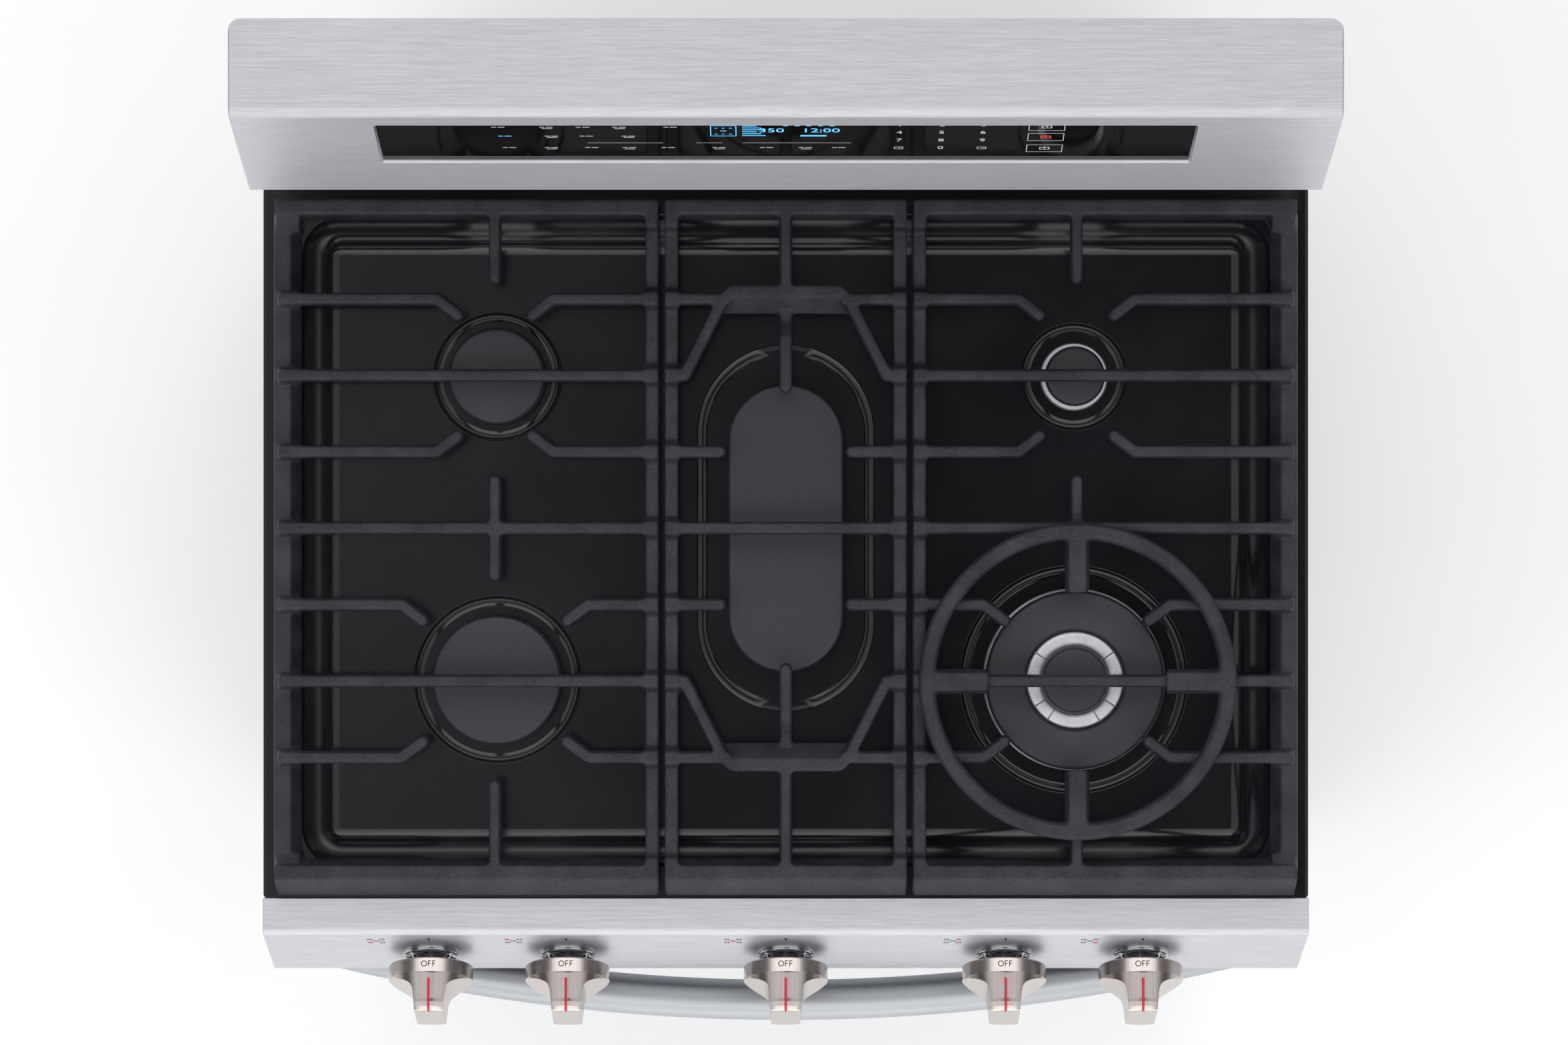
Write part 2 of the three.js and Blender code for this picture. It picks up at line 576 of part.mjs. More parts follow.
piece('burner_head_centre', join([
  loft([{ z: HEAD_Z, points: stadium(2, OVAL.x, OVAL.y, 4) }, { z: HEAD_Z + 3, points: stadium(2, OVAL.x, OVAL.y, 4) }]),
  loft([{ z: HEAD_Z, points: stadium(-3, OVAL.x, OVAL.y, 4) }, { z: SEAT_Z, points: stadium(-3, OVAL.x, OVAL.y, 4) }]),
  rod(12, [0, MID_Y - 62, 880], [0, MID_Y - 62, HEAD_Z + 1], 14),
  rod(12, [0, MID_Y + 62, 880], [0, MID_Y + 62, HEAD_Z + 1], 14),
]).subtract(rod(6, [0, MID_Y, 906], [0, MID_Y, 920], 12)), 'aluminium');
piece('burner_cap_centre', loft([
  { z: CAP_Z, points: stadium(-1, OVAL.x, OVAL.y, 6) },
  { z: CAP_Z + 1, points: stadium(0, OVAL.x, OVAL.y, 6) },
  { z: 921, points: stadium(0, OVAL.x, OVAL.y, 6) },
  { z: 923.5, points: stadium(-2.5, OVAL.x, OVAL.y, 6) },
]).add(rod(5.4, [0, MID_Y, 908], [0, MID_Y, 917], 12)), 'capEnamel');

// ---- Cast-iron grates ----
const BAR_Z = GRATE_Z - BAR_DEPTH;
const REST_Z = RIM_Z + 0.4;
const REAR_RAIL = [[247, REST_Z], [245.7, GRATE_Z], [234.7, GRATE_Z], [231.5, BAR_Z], [231.5, REST_Z]];
const FRONT_RAIL = [[-258.2, REST_Z], [-258.2, 929], [-244.6, GRATE_Z], [-235, GRATE_Z], [-231, BAR_Z],
  [-231, REST_Z]];
const rowY = (row) => MID_Y + (4 - row) * ROW_PITCH;

// Bar with draft: narrower on top than underneath, between two plan points.
function bar([ax, ay], [bx, by], top = BAR_TOP_W, foot = BAR_FOOT_W) {
  const along = new THREE.Vector2(bx - ax, by - ay).normalize();
  const side = [-along.y, along.x];
  const at = ([x, y], w) => [x + side[0] * w, y + side[1] * w];
  const ring = (w) => [at([ax, ay], -w), at([bx, by], -w), at([bx, by], w), at([ax, ay], w)];
  return loft([{ z: BAR_Z, points: ring(foot / 2) }, { z: GRATE_Z, points: ring(top / 2) }]);
}

function barEnd(x, y) {
  return rod(BAR_FOOT_W / 2, [x, y, BAR_Z], [x, y, GRATE_Z], 8, BAR_TOP_W / 2);
}

// Side rail: its top dips between the bars.
function sideRail(x0, x1) {
  const low = GRATE_Z - 9;
  const top = [[236, GRATE_Z], [230, GRATE_Z], [218, low]];
  for (let row = 1; row <= 7; row += 1) {
    const y = rowY(row);
    top.push([y + 14, low], [y + 5, GRATE_Z], [y - 5, GRATE_Z], [y - 14, low]);
  }
  top.push([-222, low], [-232, GRATE_Z], [-236, GRATE_Z]);
  const under = [[-236, REST_Z], [-225, 931], [220, 931], [236, REST_Z]];
  return prism('x', [...top, ...under], x0, x1);
}

// Outer rail: broad and low between raised ends, with a slope down its inner side.
const OUTER_INNER_X = 350.8;
const OUTER_X = 371.8;
const OUTER_Z = 941;
function outerRail(s) {
  const [x0, x1] = [Math.min(OUTER_INNER_X * s, OUTER_X * s), Math.max(OUTER_INNER_X * s, OUTER_X * s)];
  const length = [[236, GRATE_Z], [230, GRATE_Z], [221, OUTER_Z], [-223, OUTER_Z], [-232, GRATE_Z], [-236, GRATE_Z],
    [-236, REST_Z], [-225, 931], [220, 931], [236, REST_Z]];
  const slope = [[350, 930], [350.8, 932], [358.8, GRATE_Z - 8], [358.8, 960], [350, 960]];
  return prism('x', length, x0, x1).subtract(prism('y', slope.map(([x, z]) => [x * s, z]), -222, 220));
}

// Takes the top outer corner off a side grate: bars and rail ends slope away there.
function outerSlope(s) {
  const corner = [[364.6, 953], [364.6, GRATE_Z], [370.6, OUTER_Z], [373, OUTER_Z], [373, 953]];
  return prism('y', corner.map(([x, z]) => [x * s, z]), -262, 250);
}

// Finger pair on one row, each bent toward the burner.
function fingers(row, x0, x1, burnerX, bend, tip, toward) {
  const y = rowY(row);
  const tipY = y + toward * 11.5;
  return [[x0, -1], [x1, 1]].flatMap(([edge, s]) => [
    bar([edge, y], [burnerX + s * bend, y]),
    barEnd(burnerX + s * bend, y),
    bar([burnerX + s * bend, y], [burnerX + s * tip, tipY]),
    barEnd(burnerX + s * tip, tipY),
  ]);
}

function sideGrate(s) {
  const inner = 91.5 * s;
  const outer = 370.6 * s;
  const [x0, x1] = [Math.min(inner, outer), Math.max(inner, outer)];
  const [edge0, edge1] = s > 0 ? [x0 + 4, x1] : [x0, x1 - 4];
  const cx = COLUMN_X * s;
  const parts = [
    prism('x', REAR_RAIL, x0, x1),
    prism('x', FRONT_RAIL, x0, x1),
    sideRail(Math.min(inner, inner + 10 * s), Math.max(inner, inner + 10 * s)),
    outerRail(s),
  ];
  [2, 4, 6].forEach((row) => parts.push(bar([edge0, rowY(row)], [edge1, rowY(row)])));
  parts.push(...fingers(1, edge0, edge1, cx, 42, 27, -1));
  parts.push(...fingers(3, edge0, edge1, cx, 42, 27, 1));
  parts.push(...fingers(5, edge0, edge1, cx, 67.5, 52, -1));
  parts.push(...fingers(7, edge0, edge1, cx, 67.5, 52, 1));
  parts.push(bar([cx, 236], [cx, MID_Y + 181]), barEnd(cx, MID_Y + 181));
  parts.push(bar([cx, MID_Y + 34], [cx, MID_Y - 34]), barEnd(cx, MID_Y + 34), barEnd(cx, MID_Y - 34));
  parts.push(bar([cx, -236], [cx, MID_Y - 186]), barEnd(cx, MID_Y - 186));
  return join(parts).subtract(outerSlope(s));
}
piece('grate_left', sideGrate(-1), 'castIron');
piece('grate_right', sideGrate(1), 'castIron');

// Centre grate: a hexagon of bars round the oval burner, with a wide bevelled bar at each end.
function centreEnd(s, railY) {
  const at = (dy) => MID_Y + s * dy;
  const bevel = [[at(180), BAR_Z], [at(179), GRATE_Z], [at(167), GRATE_Z], [at(155), 942], [at(155), BAR_Z]];
  const tongue = [[at(156), 934], [at(156), 943], [at(137), GRATE_Z], [at(103), GRATE_Z], [at(101), BAR_Z], [at(137), 935]];
  const parts = [
    bar([0, railY], [0, at(175)]),
    prism('x', bevel, -36, 36),
    prism('x', tongue, -4.4, 4.4),
  ];
  [-1, 1].forEach((side) => {
    const shoulder = [[30 * side, at(179.5)], [36 * side, at(179.5)], [46 * side, at(170)], [50 * side, at(161)],
      [42 * side, at(155)], [30 * side, at(155)]];
    parts.push(prism('z', shoulder, BAR_Z, GRATE_Z - 3));
    parts.push(bar([83.5 * side, at(165.6)], [42 * side, at(165.6)]));
    parts.push(bar([44 * side, at(166)], [73 * side, at(110.4)]), barEnd(73 * side, at(110.4)));
    parts.push(bar([83.5 * side, at(110.4)], [73 * side, at(110.4)]));
    parts.push(bar([83.5 * side, at(55.2)], [48.5 * side, at(55.2)]), barEnd(48.5 * side, at(55.2)));
  });
  return join(parts);
}
piece('grate_centre', join([
  prism('x', REAR_RAIL, -87.5, 87.5),
  prism('x', FRONT_RAIL, -87.5, 87.5),
  sideRail(-87.5, -77.5),
  sideRail(77.5, 87.5),
  bar([-83.5, MID_Y], [83.5, MID_Y]),
  centreEnd(1, 236),
  centreEnd(-1, -236),
]), 'castIron');

// ---- Wok ring: loose cast ring with four sloping lugs, on the right grate ----
function wokRing() {
  const z = GRATE_Z + 0.4;
  const ring = turned([[102, z], [114.6, z], [114.6, z + 10], [112, z + 13], [104.5, z + 13], [102, z + 10], [102, z]],
    28, [power.x, power.y, 0]);
  const lugs = [0, 1, 2, 3].map((k) => {
    const turn = new THREE.Matrix4().makeRotationZ(k * Math.PI / 2).setPosition(power.x, power.y, 0);
    return prism('y', [[64, z], [104, z], [104, z + 12.6], [100, z + 12.6], [64, z + 6]], -8.3, 8.3, turn);
  });
  return join([ring, ...lugs]);
}
piece('wok_ring', wokRing(), 'castIron');

// ---- Backguard: folded steel shell on a vented riser, glass touch panel, control board ----
function backguardRiser() {
  const front = box(-372, 372, 268.5, 270.5, 905.4, 1029.6);
  const sides = [-1, 1].map((s) => {
    const span = [370 * s, 372 * s].sort((a, b) => a - b);
    return box(...span, 268.5, 355.5, 905.4, 1029.6);
  });
  const slots = [];
  for (let k = -4; k <= 4; k += 1) {
    [956, 972].forEach((z) => slots.push(box(k * 52 - 21, k * 52 + 21, 260, 280, z, z + 6)));
  }
  return cutAll(join([front, ...sides]), slots);
}
piece('backguard_riser', backguardRiser(), 'enamel');

const faceFrame = leaningFrame(0, FACE_TOP_Y, TOP_Z, FACE_TILT);

function backguardShell() {
  const outer = filleted([[355.5, TOP_Z, 5], [FACE_TOP_Y, TOP_Z, 10], [247.5, 1033.6, 3], [249.5, 1030], [355.5, 1030]]);
  const inner = [[353.5, 1195], [291, 1195], [249.9, 1034.6], [249.9, 1032], [353.5, 1032]];
  const body = prism('x', outer, -HALF_W, HALF_W);
  const window = box(-280.5, 280.5, -104, -24, -8, 5, faceFrame);
  const access = box(-340, 340, 276, 346, 1025, 1034);
  return cutAll(body, [prism('x', inner, -HALF_W + SHEET, HALF_W - SHEET), window, access]);
}
piece('backguard_shell', backguardShell(), 'stainless');
piece('control_glass', box(-286, 286, -109, -19, -6.4, -2.5, faceFrame), 'blackGlass');
piece('control_board', join([
  box(-200, 200, -100, -28, -14, -12, faceFrame),
  box(-150, -60, -80, -40, -26, -13, faceFrame),
  box(40, 90, -90, -50, -32, -13, faceFrame),
  box(-30, 20, -60, -35, -13, -7, faceFrame),
]), 'board');

// ---- Rear panel: flat sheet with louvres and the gas inlet hole ----
function rearPanel() {
  const sheet = box(-377, 377, REAR_Y - SHEET, REAR_Y, 64, 1028);
  const cuts = [rod(20, [345, 350, 120], [345, 365, 120], 20)];
  for (let k = -3; k <= 3; k += 1) {
    [760, 790].forEach((z) => cuts.push(box(k * 60 - 22, k * 60 + 22, 350, 365, z, z + 6)));
  }
  return cutAll(sheet, cuts);
}
piece('rear_panel', rearPanel(), 'galvanised');

export default range;
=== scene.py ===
import math

import bmesh
import bpy
from mathutils import Matrix, Vector


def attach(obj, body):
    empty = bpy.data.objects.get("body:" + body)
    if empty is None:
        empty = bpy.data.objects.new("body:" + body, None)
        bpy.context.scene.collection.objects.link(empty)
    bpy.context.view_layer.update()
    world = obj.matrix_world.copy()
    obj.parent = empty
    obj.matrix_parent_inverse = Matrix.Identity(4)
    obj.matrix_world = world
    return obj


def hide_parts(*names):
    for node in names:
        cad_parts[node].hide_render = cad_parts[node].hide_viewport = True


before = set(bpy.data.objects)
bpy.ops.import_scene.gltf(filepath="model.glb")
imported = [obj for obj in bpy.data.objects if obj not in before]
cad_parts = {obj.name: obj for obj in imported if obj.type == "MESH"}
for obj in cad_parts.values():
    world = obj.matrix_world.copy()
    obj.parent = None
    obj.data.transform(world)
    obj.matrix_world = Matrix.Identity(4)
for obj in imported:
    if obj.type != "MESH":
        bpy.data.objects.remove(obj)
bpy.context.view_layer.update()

# ---------------------------------------------------------------- studio
# A pale seamless floor under the range, soft white light all round with a
# darker patch high on the right, and a long lens straight above the cooktop.


def deselect():
    if bpy.context.mode != "OBJECT":
        bpy.ops.object.mode_set(mode="OBJECT")
    bpy.ops.object.select_all(action="DESELECT")


def colour(code):
    """A linear colour with alpha from an sRGB hex code."""
    parts = [int(code[i:i + 2], 16) / 255 for i in (0, 2, 4)]
    return [c / 12.92 if c <= 0.04045 else ((c + 0.055) / 1.055) ** 2.4 for c in parts] + [1.0]


def add(tree, kind, inputs=None, **settings):
    """Adds one node with its settings, and sets or links its inputs."""
    node = tree.nodes.new("ShaderNode" + kind)
    for name, value in settings.items():
        setattr(node, name, value)
    for name, value in (inputs or {}).items():
        if isinstance(value, bpy.types.NodeSocket):
            tree.links.new(value, node.inputs[name])
        else:
            node.inputs[name].default_value = value
    return node


def new_material(name):
    """A node material with its tree, its surface shader and the place on the piece in metres."""
    material = bpy.data.materials.new(name)
    material.use_nodes = True
    tree = material.node_tree
    return material, tree, tree.nodes["Principled BSDF"], add(tree, "TexCoord").outputs["Object"]


def stretch(tree, value, low, high, start=0.0, end=1.0, ease="LINEAR"):
    """A value clamped to start..end and stretched to low..high."""
    limits = {"Value": value, "From Min": start, "From Max": end, "To Min": low, "To Max": high}
    return add(tree, "MapRange", limits, interpolation_type=ease).outputs["Result"]


def maths(tree, operation, first, second=0.0):
    """One sum on one or two values."""
    return add(tree, "Math", {0: first, 1: second}, operation=operation).outputs["Value"]


def noise(tree, place, millimetres, detail=2.0, **more):
    """Cloudy noise with features of about the given size."""
    grain = {"Vector": place, "Scale": 1000 / millimetres, "Detail": detail, **more}
    return add(tree, "TexNoise", grain).outputs["Fac"]


def blended(tree, factor, first, second):
    """A value between two others."""
    return add(tree, "Mix", {"Factor": factor, "A": first, "B": second}).outputs["Result"]


def coat(tree, skin, **values):
    """Sets or links shader inputs, such as Base_Color for the base colour."""
    for name, value in values.items():
        shader_input = skin.inputs[name.replace("_", " ")]
        if isinstance(value, bpy.types.NodeSocket):
            tree.links.new(value, shader_input)
        else:
            shader_input.default_value = value


floor_paper, tree, skin, place = new_material("seamless_paper")
# Matt white paper: the faint mottling keeps it from looking like a screen.
mottle = noise(tree, place, 166.7, 3)
tint = stretch(tree, mottle, 0.76, 0.79)
coat(tree, skin, Base_Color=tint, Roughness=0.9, Emission_Color=colour("ffffff"), Emission_Strength=0.10)

deselect()
bpy.ops.mesh.primitive_plane_add(size=14, location=(0, 0, 0))
floor = bpy.context.object
floor.name = "studio_floor"
floor.data.materials.append(floor_paper)

world = bpy.data.worlds.new("studio_light")
bpy.context.scene.world = world
world.use_nodes = True
sky = world.node_tree
ray = add(sky, "SeparateXYZ", {"Vector": add(sky, "TexCoord").outputs["Generated"]}).outputs
# Walls: bright in front of and behind the range, dimmer at its sides.
depth = maths(sky, "ABSOLUTE", ray["Y"])
walls = stretch(sky, depth, 0.78, 2.05, 0.10, 0.60, "SMOOTHSTEP")
# Flags: a darker band 20 degrees up, which the slopes of the enamel well mirror.
height = maths(sky, "ABSOLUTE", maths(sky, "SUBTRACT", ray["Z"], 0.36))
flags = stretch(sky, height, 0.13, 1.0, 0.16, 0.34, "SMOOTHSTEP")
# Overhead: a dark card hangs to the right of the lens and fades out to the left.
card = stretch(sky, ray["X"], 0.0, 1.0, -0.19, 0.02)
card_end = stretch(sky, ray["X"], 1.0, 0.0, 0.13, 0.30, "SMOOTHSTEP")
card_side = stretch(sky, depth, 1.0, 0.0, 0.09, 0.22, "SMOOTHSTEP")
shade = maths(sky, "MULTIPLY", maths(sky, "MULTIPLY", card, card_end), card_side)
level = blended(sky, shade, maths(sky, "MULTIPLY", walls, flags), 0.02)
sky.nodes["Background"].inputs["Color"].default_value = colour("fefeff")
sky.links.new(level, sky.nodes["Background"].inputs["Strength"])

LAMPS = [
    ("key_softbox", (-2.6, -1.2, 4.6), 2.2, 60),
    ("fill_softbox", (2.4, -2.6, 3.0), 2.0, 28),
    ("rear_softbox", (0.4, 3.2, 4.2), 2.4, 40),
    ("front_softbox", (0.0, -3.6, 1.9), 2.2, 18),
]
for name, where, size, watts in LAMPS:
    deselect()
    bpy.ops.object.light_add(type="AREA", location=where)
    lamp = bpy.context.object
    lamp.name = name
    lamp.data.size = size
    lamp.data.energy = watts
    aim = Vector((0, 0, 0.8)) - lamp.location
    lamp.rotation_euler = aim.to_track_quat("-Z", "Y").to_euler()
    # Only the front lamp shows in gloss, so the well slopes stay dark.
    lamp.visible_glossy = name == "front_softbox"

# A long lens 5.2 m up looks straight down at the cooktop.
deselect()
bpy.ops.object.camera_add(location=(-0.0013, 0.0126, 5.229), rotation=(0, 0, 0))
camera = bpy.context.object
camera.data.sensor_width = 36.0
camera.data.lens = 136.2
camera.data.clip_end = 60
bpy.context.scene.camera = camera
bpy.context.scene.view_settings.view_transform = "Standard"

# ---------------------------------------------------------------- cooktop
# One pressed steel pan with a deep well, a bead round its rim and a shallow
# dish for each burner, coated all over in gloss black porcelain enamel.


def finish(obj, kind, **settings):
    """Adds one modifier with its settings and applies it."""
    deselect()
    obj.select_set(True)
    bpy.context.view_layer.objects.active = obj
    modifier = obj.modifiers.new(kind.lower(), kind)
    for name, value in settings.items():
        setattr(modifier, name, value)
    bpy.ops.object.modifier_apply(modifier=modifier.name)


def block(name, x0, x1, y0, y1, z0, z1):
    """A cube primitive at its size and place, in millimetres."""
    deselect()
    centre = [(a + b) / 2000 for a, b in ((x0, x1), (y0, y1), (z0, z1))]
    bpy.ops.mesh.primitive_cube_add(size=1, location=centre)
    made = bpy.context.object
    made.name = name
    made.scale = [(b - a) / 1000 for a, b in ((x0, x1), (y0, y1), (z0, z1))]
    bpy.ops.object.transform_apply(location=True, rotation=True, scale=True)
    return made


def choose(obj, kind, test):
    """Leaves obj in edit mode, only its parts that pass test(place in mm, direction) selected."""
    if bpy.context.mode != "EDIT_MESH":
        deselect()
        obj.select_set(True)
        bpy.context.view_layer.objects.active = obj
        bpy.ops.object.mode_set(mode="EDIT")
    bpy.ops.mesh.select_mode(type=kind)
    bpy.ops.mesh.select_all(action="DESELECT")
    mesh = bmesh.from_edit_mesh(obj.data)
    if kind == "VERT":
        parts = [(v, v.co, v.normal) for v in mesh.verts]
    elif kind == "EDGE":
        parts = [(e, (e.verts[0].co + e.verts[1].co) / 2, (e.verts[1].co - e.verts[0].co).normalized())
                 for e in mesh.edges]
    else:
        parts = [(f, f.calc_center_median(), f.normal) for f in mesh.faces]
    for part, where, way in parts:
        if test(where * 1000, way):
            part.select_set(True)
    mesh.select_flush_mode()
    bmesh.update_edit_mesh(obj.data)


def rounded(obj, test, radius, segments):
    """Rolls over the edges that pass test, with a radius in mm."""
    choose(obj, "EDGE", test)
    bpy.ops.mesh.bevel(offset=radius / 1000, segments=segments, affect="EDGES")
    bpy.ops.object.mode_set(mode="OBJECT")


def combine(obj, operation, other):
    """Joins, cuts or intersects obj with another solid, which is used up."""
    finish(obj, "BOOLEAN", operation=operation, solver="MANIFOLD", object=other)
    bpy.data.objects.remove(other)


def cut(obj, *cutters):
    """Takes each cutter out of obj."""
    for cutter in cutters:
        combine(obj, "DIFFERENCE", cutter)


def traced(name, points):
    """A line drawn by extruding one vertex from point to point, left in edit mode (mm)."""
    points = [Vector(p) / 1000 for p in points]
    deselect()
    bpy.ops.mesh.primitive_plane_add(size=0.001, location=points[0])
    made = bpy.context.object
    made.name = name
    bpy.ops.object.transform_apply(location=True, rotation=True, scale=True)
    bpy.ops.object.mode_set(mode="EDIT")
    bpy.ops.mesh.select_mode(type="VERT")
    bpy.ops.mesh.select_all(action="SELECT")
    bpy.ops.mesh.merge(type="CENTER")
    bpy.ops.mesh.select_all(action="SELECT")
    for here, there in zip(points, points[1:]):
        bpy.ops.mesh.extrude_vertices_move(TRANSFORM_OT_translate={"value": there - here})
    bpy.ops.mesh.select_all(action="SELECT")
    bpy.ops.mesh.remove_doubles(threshold=2e-6)
    return made


def spun(name, profile, x=0.0, y=0.0, steps=72):
    """(radius, height) points in mm turned once about a vertical axis."""
    made = traced(name, [(x + r, y, z) for r, z in profile])
    bpy.ops.mesh.select_all(action="SELECT")
    bpy.ops.mesh.spin(steps=steps, angle=2 * math.pi, center=(x / 1000, y / 1000, 0), axis=(0, 0, 1))
    bpy.ops.mesh.select_all(action="SELECT")
    bpy.ops.mesh.remove_doubles(threshold=2e-6)
    bpy.ops.mesh.normals_make_consistent(inside=False)
    bpy.ops.object.mode_set(mode="OBJECT")
    return made


def extruded(name, outline, way):
    """A closed outline of 3D points filled and drawn out by a vector (mm)."""
    made = traced(name, list(outline) + [outline[0]])
    bpy.ops.mesh.select_all(action="SELECT")
    bpy.ops.mesh.edge_face_add()
    bpy.ops.mesh.extrude_region_move(TRANSFORM_OT_translate={"value": Vector(way) / 1000})
    bpy.ops.mesh.select_all(action="SELECT")
    bpy.ops.mesh.normals_make_consistent(inside=False)
    bpy.ops.object.mode_set(mode="OBJECT")
    return made


def piped(line, radius, rounds=4):
    """A drawn line given a round section (mm)."""
    deselect()
    line.select_set(True)
    bpy.context.view_layer.objects.active = line
    bpy.ops.object.convert(target="CURVE")
    line = bpy.context.object
    line.data.bevel_depth = radius / 1000
    line.data.bevel_resolution = rounds
    line.data.use_fill_caps = True
    bpy.ops.object.convert(target="MESH")
    bpy.ops.object.shade_smooth()
    return bpy.context.object


def copied(source, matrix):
    made = source.copy()
    made.data = source.data.copy()
    made.data.transform(matrix)
    bpy.context.collection.objects.link(made)
    return made


def joined(name, parts):
    deselect()
    for part in parts:
        part.select_set(True)
    bpy.context.view_layer.objects.active = parts[0]
    if len(parts) > 1:
        bpy.ops.object.join()
    parts[0].name = name
    return parts[0]


def smooth(obj, degrees=35):
    deselect()
    obj.select_set(True)
    bpy.context.view_layer.objects.active = obj
    bpy.ops.object.shade_smooth_by_angle(angle=math.radians(degrees))


def dress(obj, material, body, slot, *nodes):
    """Paints a finished piece, puts it on its body and hides the CAD parts it stands for."""
    obj.data.materials.clear()
    obj.data.materials.append(material)
    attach(obj, body)
    if nodes:
        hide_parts(*nodes)


def two_tone(tree, factor, low, high):
    """A colour between two sRGB hex codes; 6, 7 and 2 are the Mix node's colour sockets."""
    return add(tree, "Mix", {"Factor": factor, 6: colour(low), 7: colour(high)}, data_type="RGBA").outputs[2]


def drawn(tree, place, lengths, turn=(0, 0, 0)):
    """The place measured in units of the given lengths in mm, so that a pattern is drawn out."""
    scale = [1000 / length for length in lengths]
    return add(tree, "Mapping", {"Vector": place, "Rotation": turn, "Scale": scale}).outputs["Vector"]


def bumps(tree, height, strength, millimetres):
    """A normal pushed about by height, over the given depth."""
    push = {"Height": height, "Strength": strength, "Distance": millimetres / 1000}
    return add(tree, "Bump", push).outputs["Normal"]


MIDDLE = 8.5
SIDE = 210.0
AHEAD = 110.4
BURNERS = {
    "left_rear": (-SIDE, MIDDLE + AHEAD, 35.0, 47.0),
    "left_front": (-SIDE, MIDDLE - AHEAD, 47.0, 61.0),
    "right_rear": (SIDE, MIDDLE + AHEAD, 21.7, 39.0),
    "right_front": (SIDE, MIDDLE - AHEAD, 64.0, 83.0),
}

black_enamel, tree, skin, place = new_material("gloss_black_enamel")
# Porcelain enamel: a glassy coat with a faint orange peel and a few dull wiped patches.
wiped = noise(tree, place, 111.1, 4)
dull = stretch(tree, wiped, 0.13, 0.20, 0.35, 0.7)
peel = noise(tree, place, 3.125)
speck = noise(tree, place, 0.714, 1)
shade = stretch(tree, speck, 0.0, 1.0, 0.3, 0.7)
tone = two_tone(tree, shade, "0c0d10", "15161a")
wave = bumps(tree, peel, 0.05, 0.4)
coat(tree, skin, Base_Color=tone, Roughness=dull, Normal=wave, IOR=1.52)

pan = block("cooktop_pan", -379.3, 379.3, -259.3, 268, 905.2, 925)
choose(pan, "FACE", lambda p, n: n.z < -0.9)
bpy.ops.mesh.inset(thickness=0.0018, depth=0)
bpy.ops.transform.translate(value=(0, 0, 0.018))
rounded(pan, lambda p, n: (p.z > 924.9 and abs(p.x) > 379) or (abs(n.z) > 0.9 and abs(p.x) > 379), 2.4, 4)
shell = block("well_shell", -352, 352, -238.5, 235.5, 900.6, 924.5)
combine(pan, "UNION", shell)


def stepped(obj, steps):
    """Draws the underside in and down by each (inward, down) pair in mm."""
    for inward, down in steps:
        choose(obj, "FACE", lambda p, n: n.z < -0.98 and abs(p.x) < 20)
        bpy.ops.mesh.inset(thickness=inward / 1000, depth=0)
        bpy.ops.transform.translate(value=(0, 0, -down / 1000))


# The well: steep walls, a ledge, then a rounded foot down to the flat floor.
well = block("well", -351, 351, -237, 234, 919, 940)
rounded(well, lambda p, n: abs(n.z) > 0.9, 28, 10)
STEPS = [(0.6, 1.6), (1.2, 1.6), (9.5, 5.0), (5.5, 2.6), (1.6, 1.8), (1.8, 1.5), (2.2, 1.1), (2.4, 0.6),
         (1.4, 0.2)]
stepped(well, STEPS)
# Lines across the floor through each burner keep its faces simple once the dishes are cut.
for x in (-290, -SIDE, -105, 0, 105, SIDE, 290):
    choose(well, "FACE", lambda p, n: True)
    bpy.ops.mesh.bisect(plane_co=(x / 1000, 0, 0), plane_no=(1, 0, 0))
for y in (-180, MIDDLE - AHEAD, -40, MIDDLE, 60, MIDDLE + AHEAD, 190):
    choose(well, "FACE", lambda p, n: True)
    bpy.ops.mesh.bisect(plane_co=(0, y / 1000, 0), plane_no=(0, 1, 0))
choose(well, "FACE", lambda p, n: True)
bpy.ops.mesh.quads_convert_to_tris(quad_method="BEAUTY", ngon_method="BEAUTY")
bpy.ops.object.mode_set(mode="OBJECT")

dishes = [well]
for name, (x, y, cap, ring) in BURNERS.items():
    outer = [(0, 930), (ring + 0.6, 930), (ring + 0.6, 903.05), (ring, 902.9), (ring - 0.8, 902.3),
             (ring - 2.2, 901.7), (ring - 3.6, 901.45), (ring - 5, 901.5), (ring - 6.2, 901.9),
             (ring - 7, 902.2), (0, 902.2)]
    dishes.append(spun("dish_" + name, outer, x, y, 96))
oval = block("dish_centre", -65, 65, MIDDLE - 134.5, MIDDLE + 134.5, 903.05, 930)
rounded(oval, lambda p, n: abs(n.z) > 0.9, 64.9, 24)
stepped(oval, [(0.5, 0.4), (1.4, 0.7), (2.0, 0.35), (2.0, 0.05), (1.3, -0.35), (0.8, -0.25)])
bpy.ops.object.mode_set(mode="OBJECT")
cut(pan, *dishes, oval)
smooth(pan, 32)
choose(pan, "FACE", lambda p, n: n.z > 0.9999)
bpy.ops.mesh.faces_shade_flat()
bpy.ops.object.mode_set(mode="OBJECT")
dress(pan, black_enamel, "range_body", "enamel", "cooktop")

# A thin rolled bead runs just inside the rear of the rim and turns down both sides.
turn = [(-352 + 14 - 14 * math.cos(i * math.pi / 12),
         236.4 + 14 * math.sin(i * math.pi / 12) - 14) for i in range(7)]
route = [(-352, 200)] + turn + [(-x, y) for x, y in reversed(turn)] + [(352, 200)]
bead = traced("rim_bead", [(x, y, 925.1) for x, y in route])
bpy.ops.object.mode_set(mode="OBJECT")
bead = piped(bead, 0.9)
dress(bead, black_enamel, "range_body", "enamel")

# ---------------------------------------------------------------- burners
# Five die-cast aluminium heads with flame ports sawn round the edge, each
# under a loose steel cap in matt black enamel; the right front one has two.
cap_black, tree, skin, place = new_material("matt_cap_enamel")
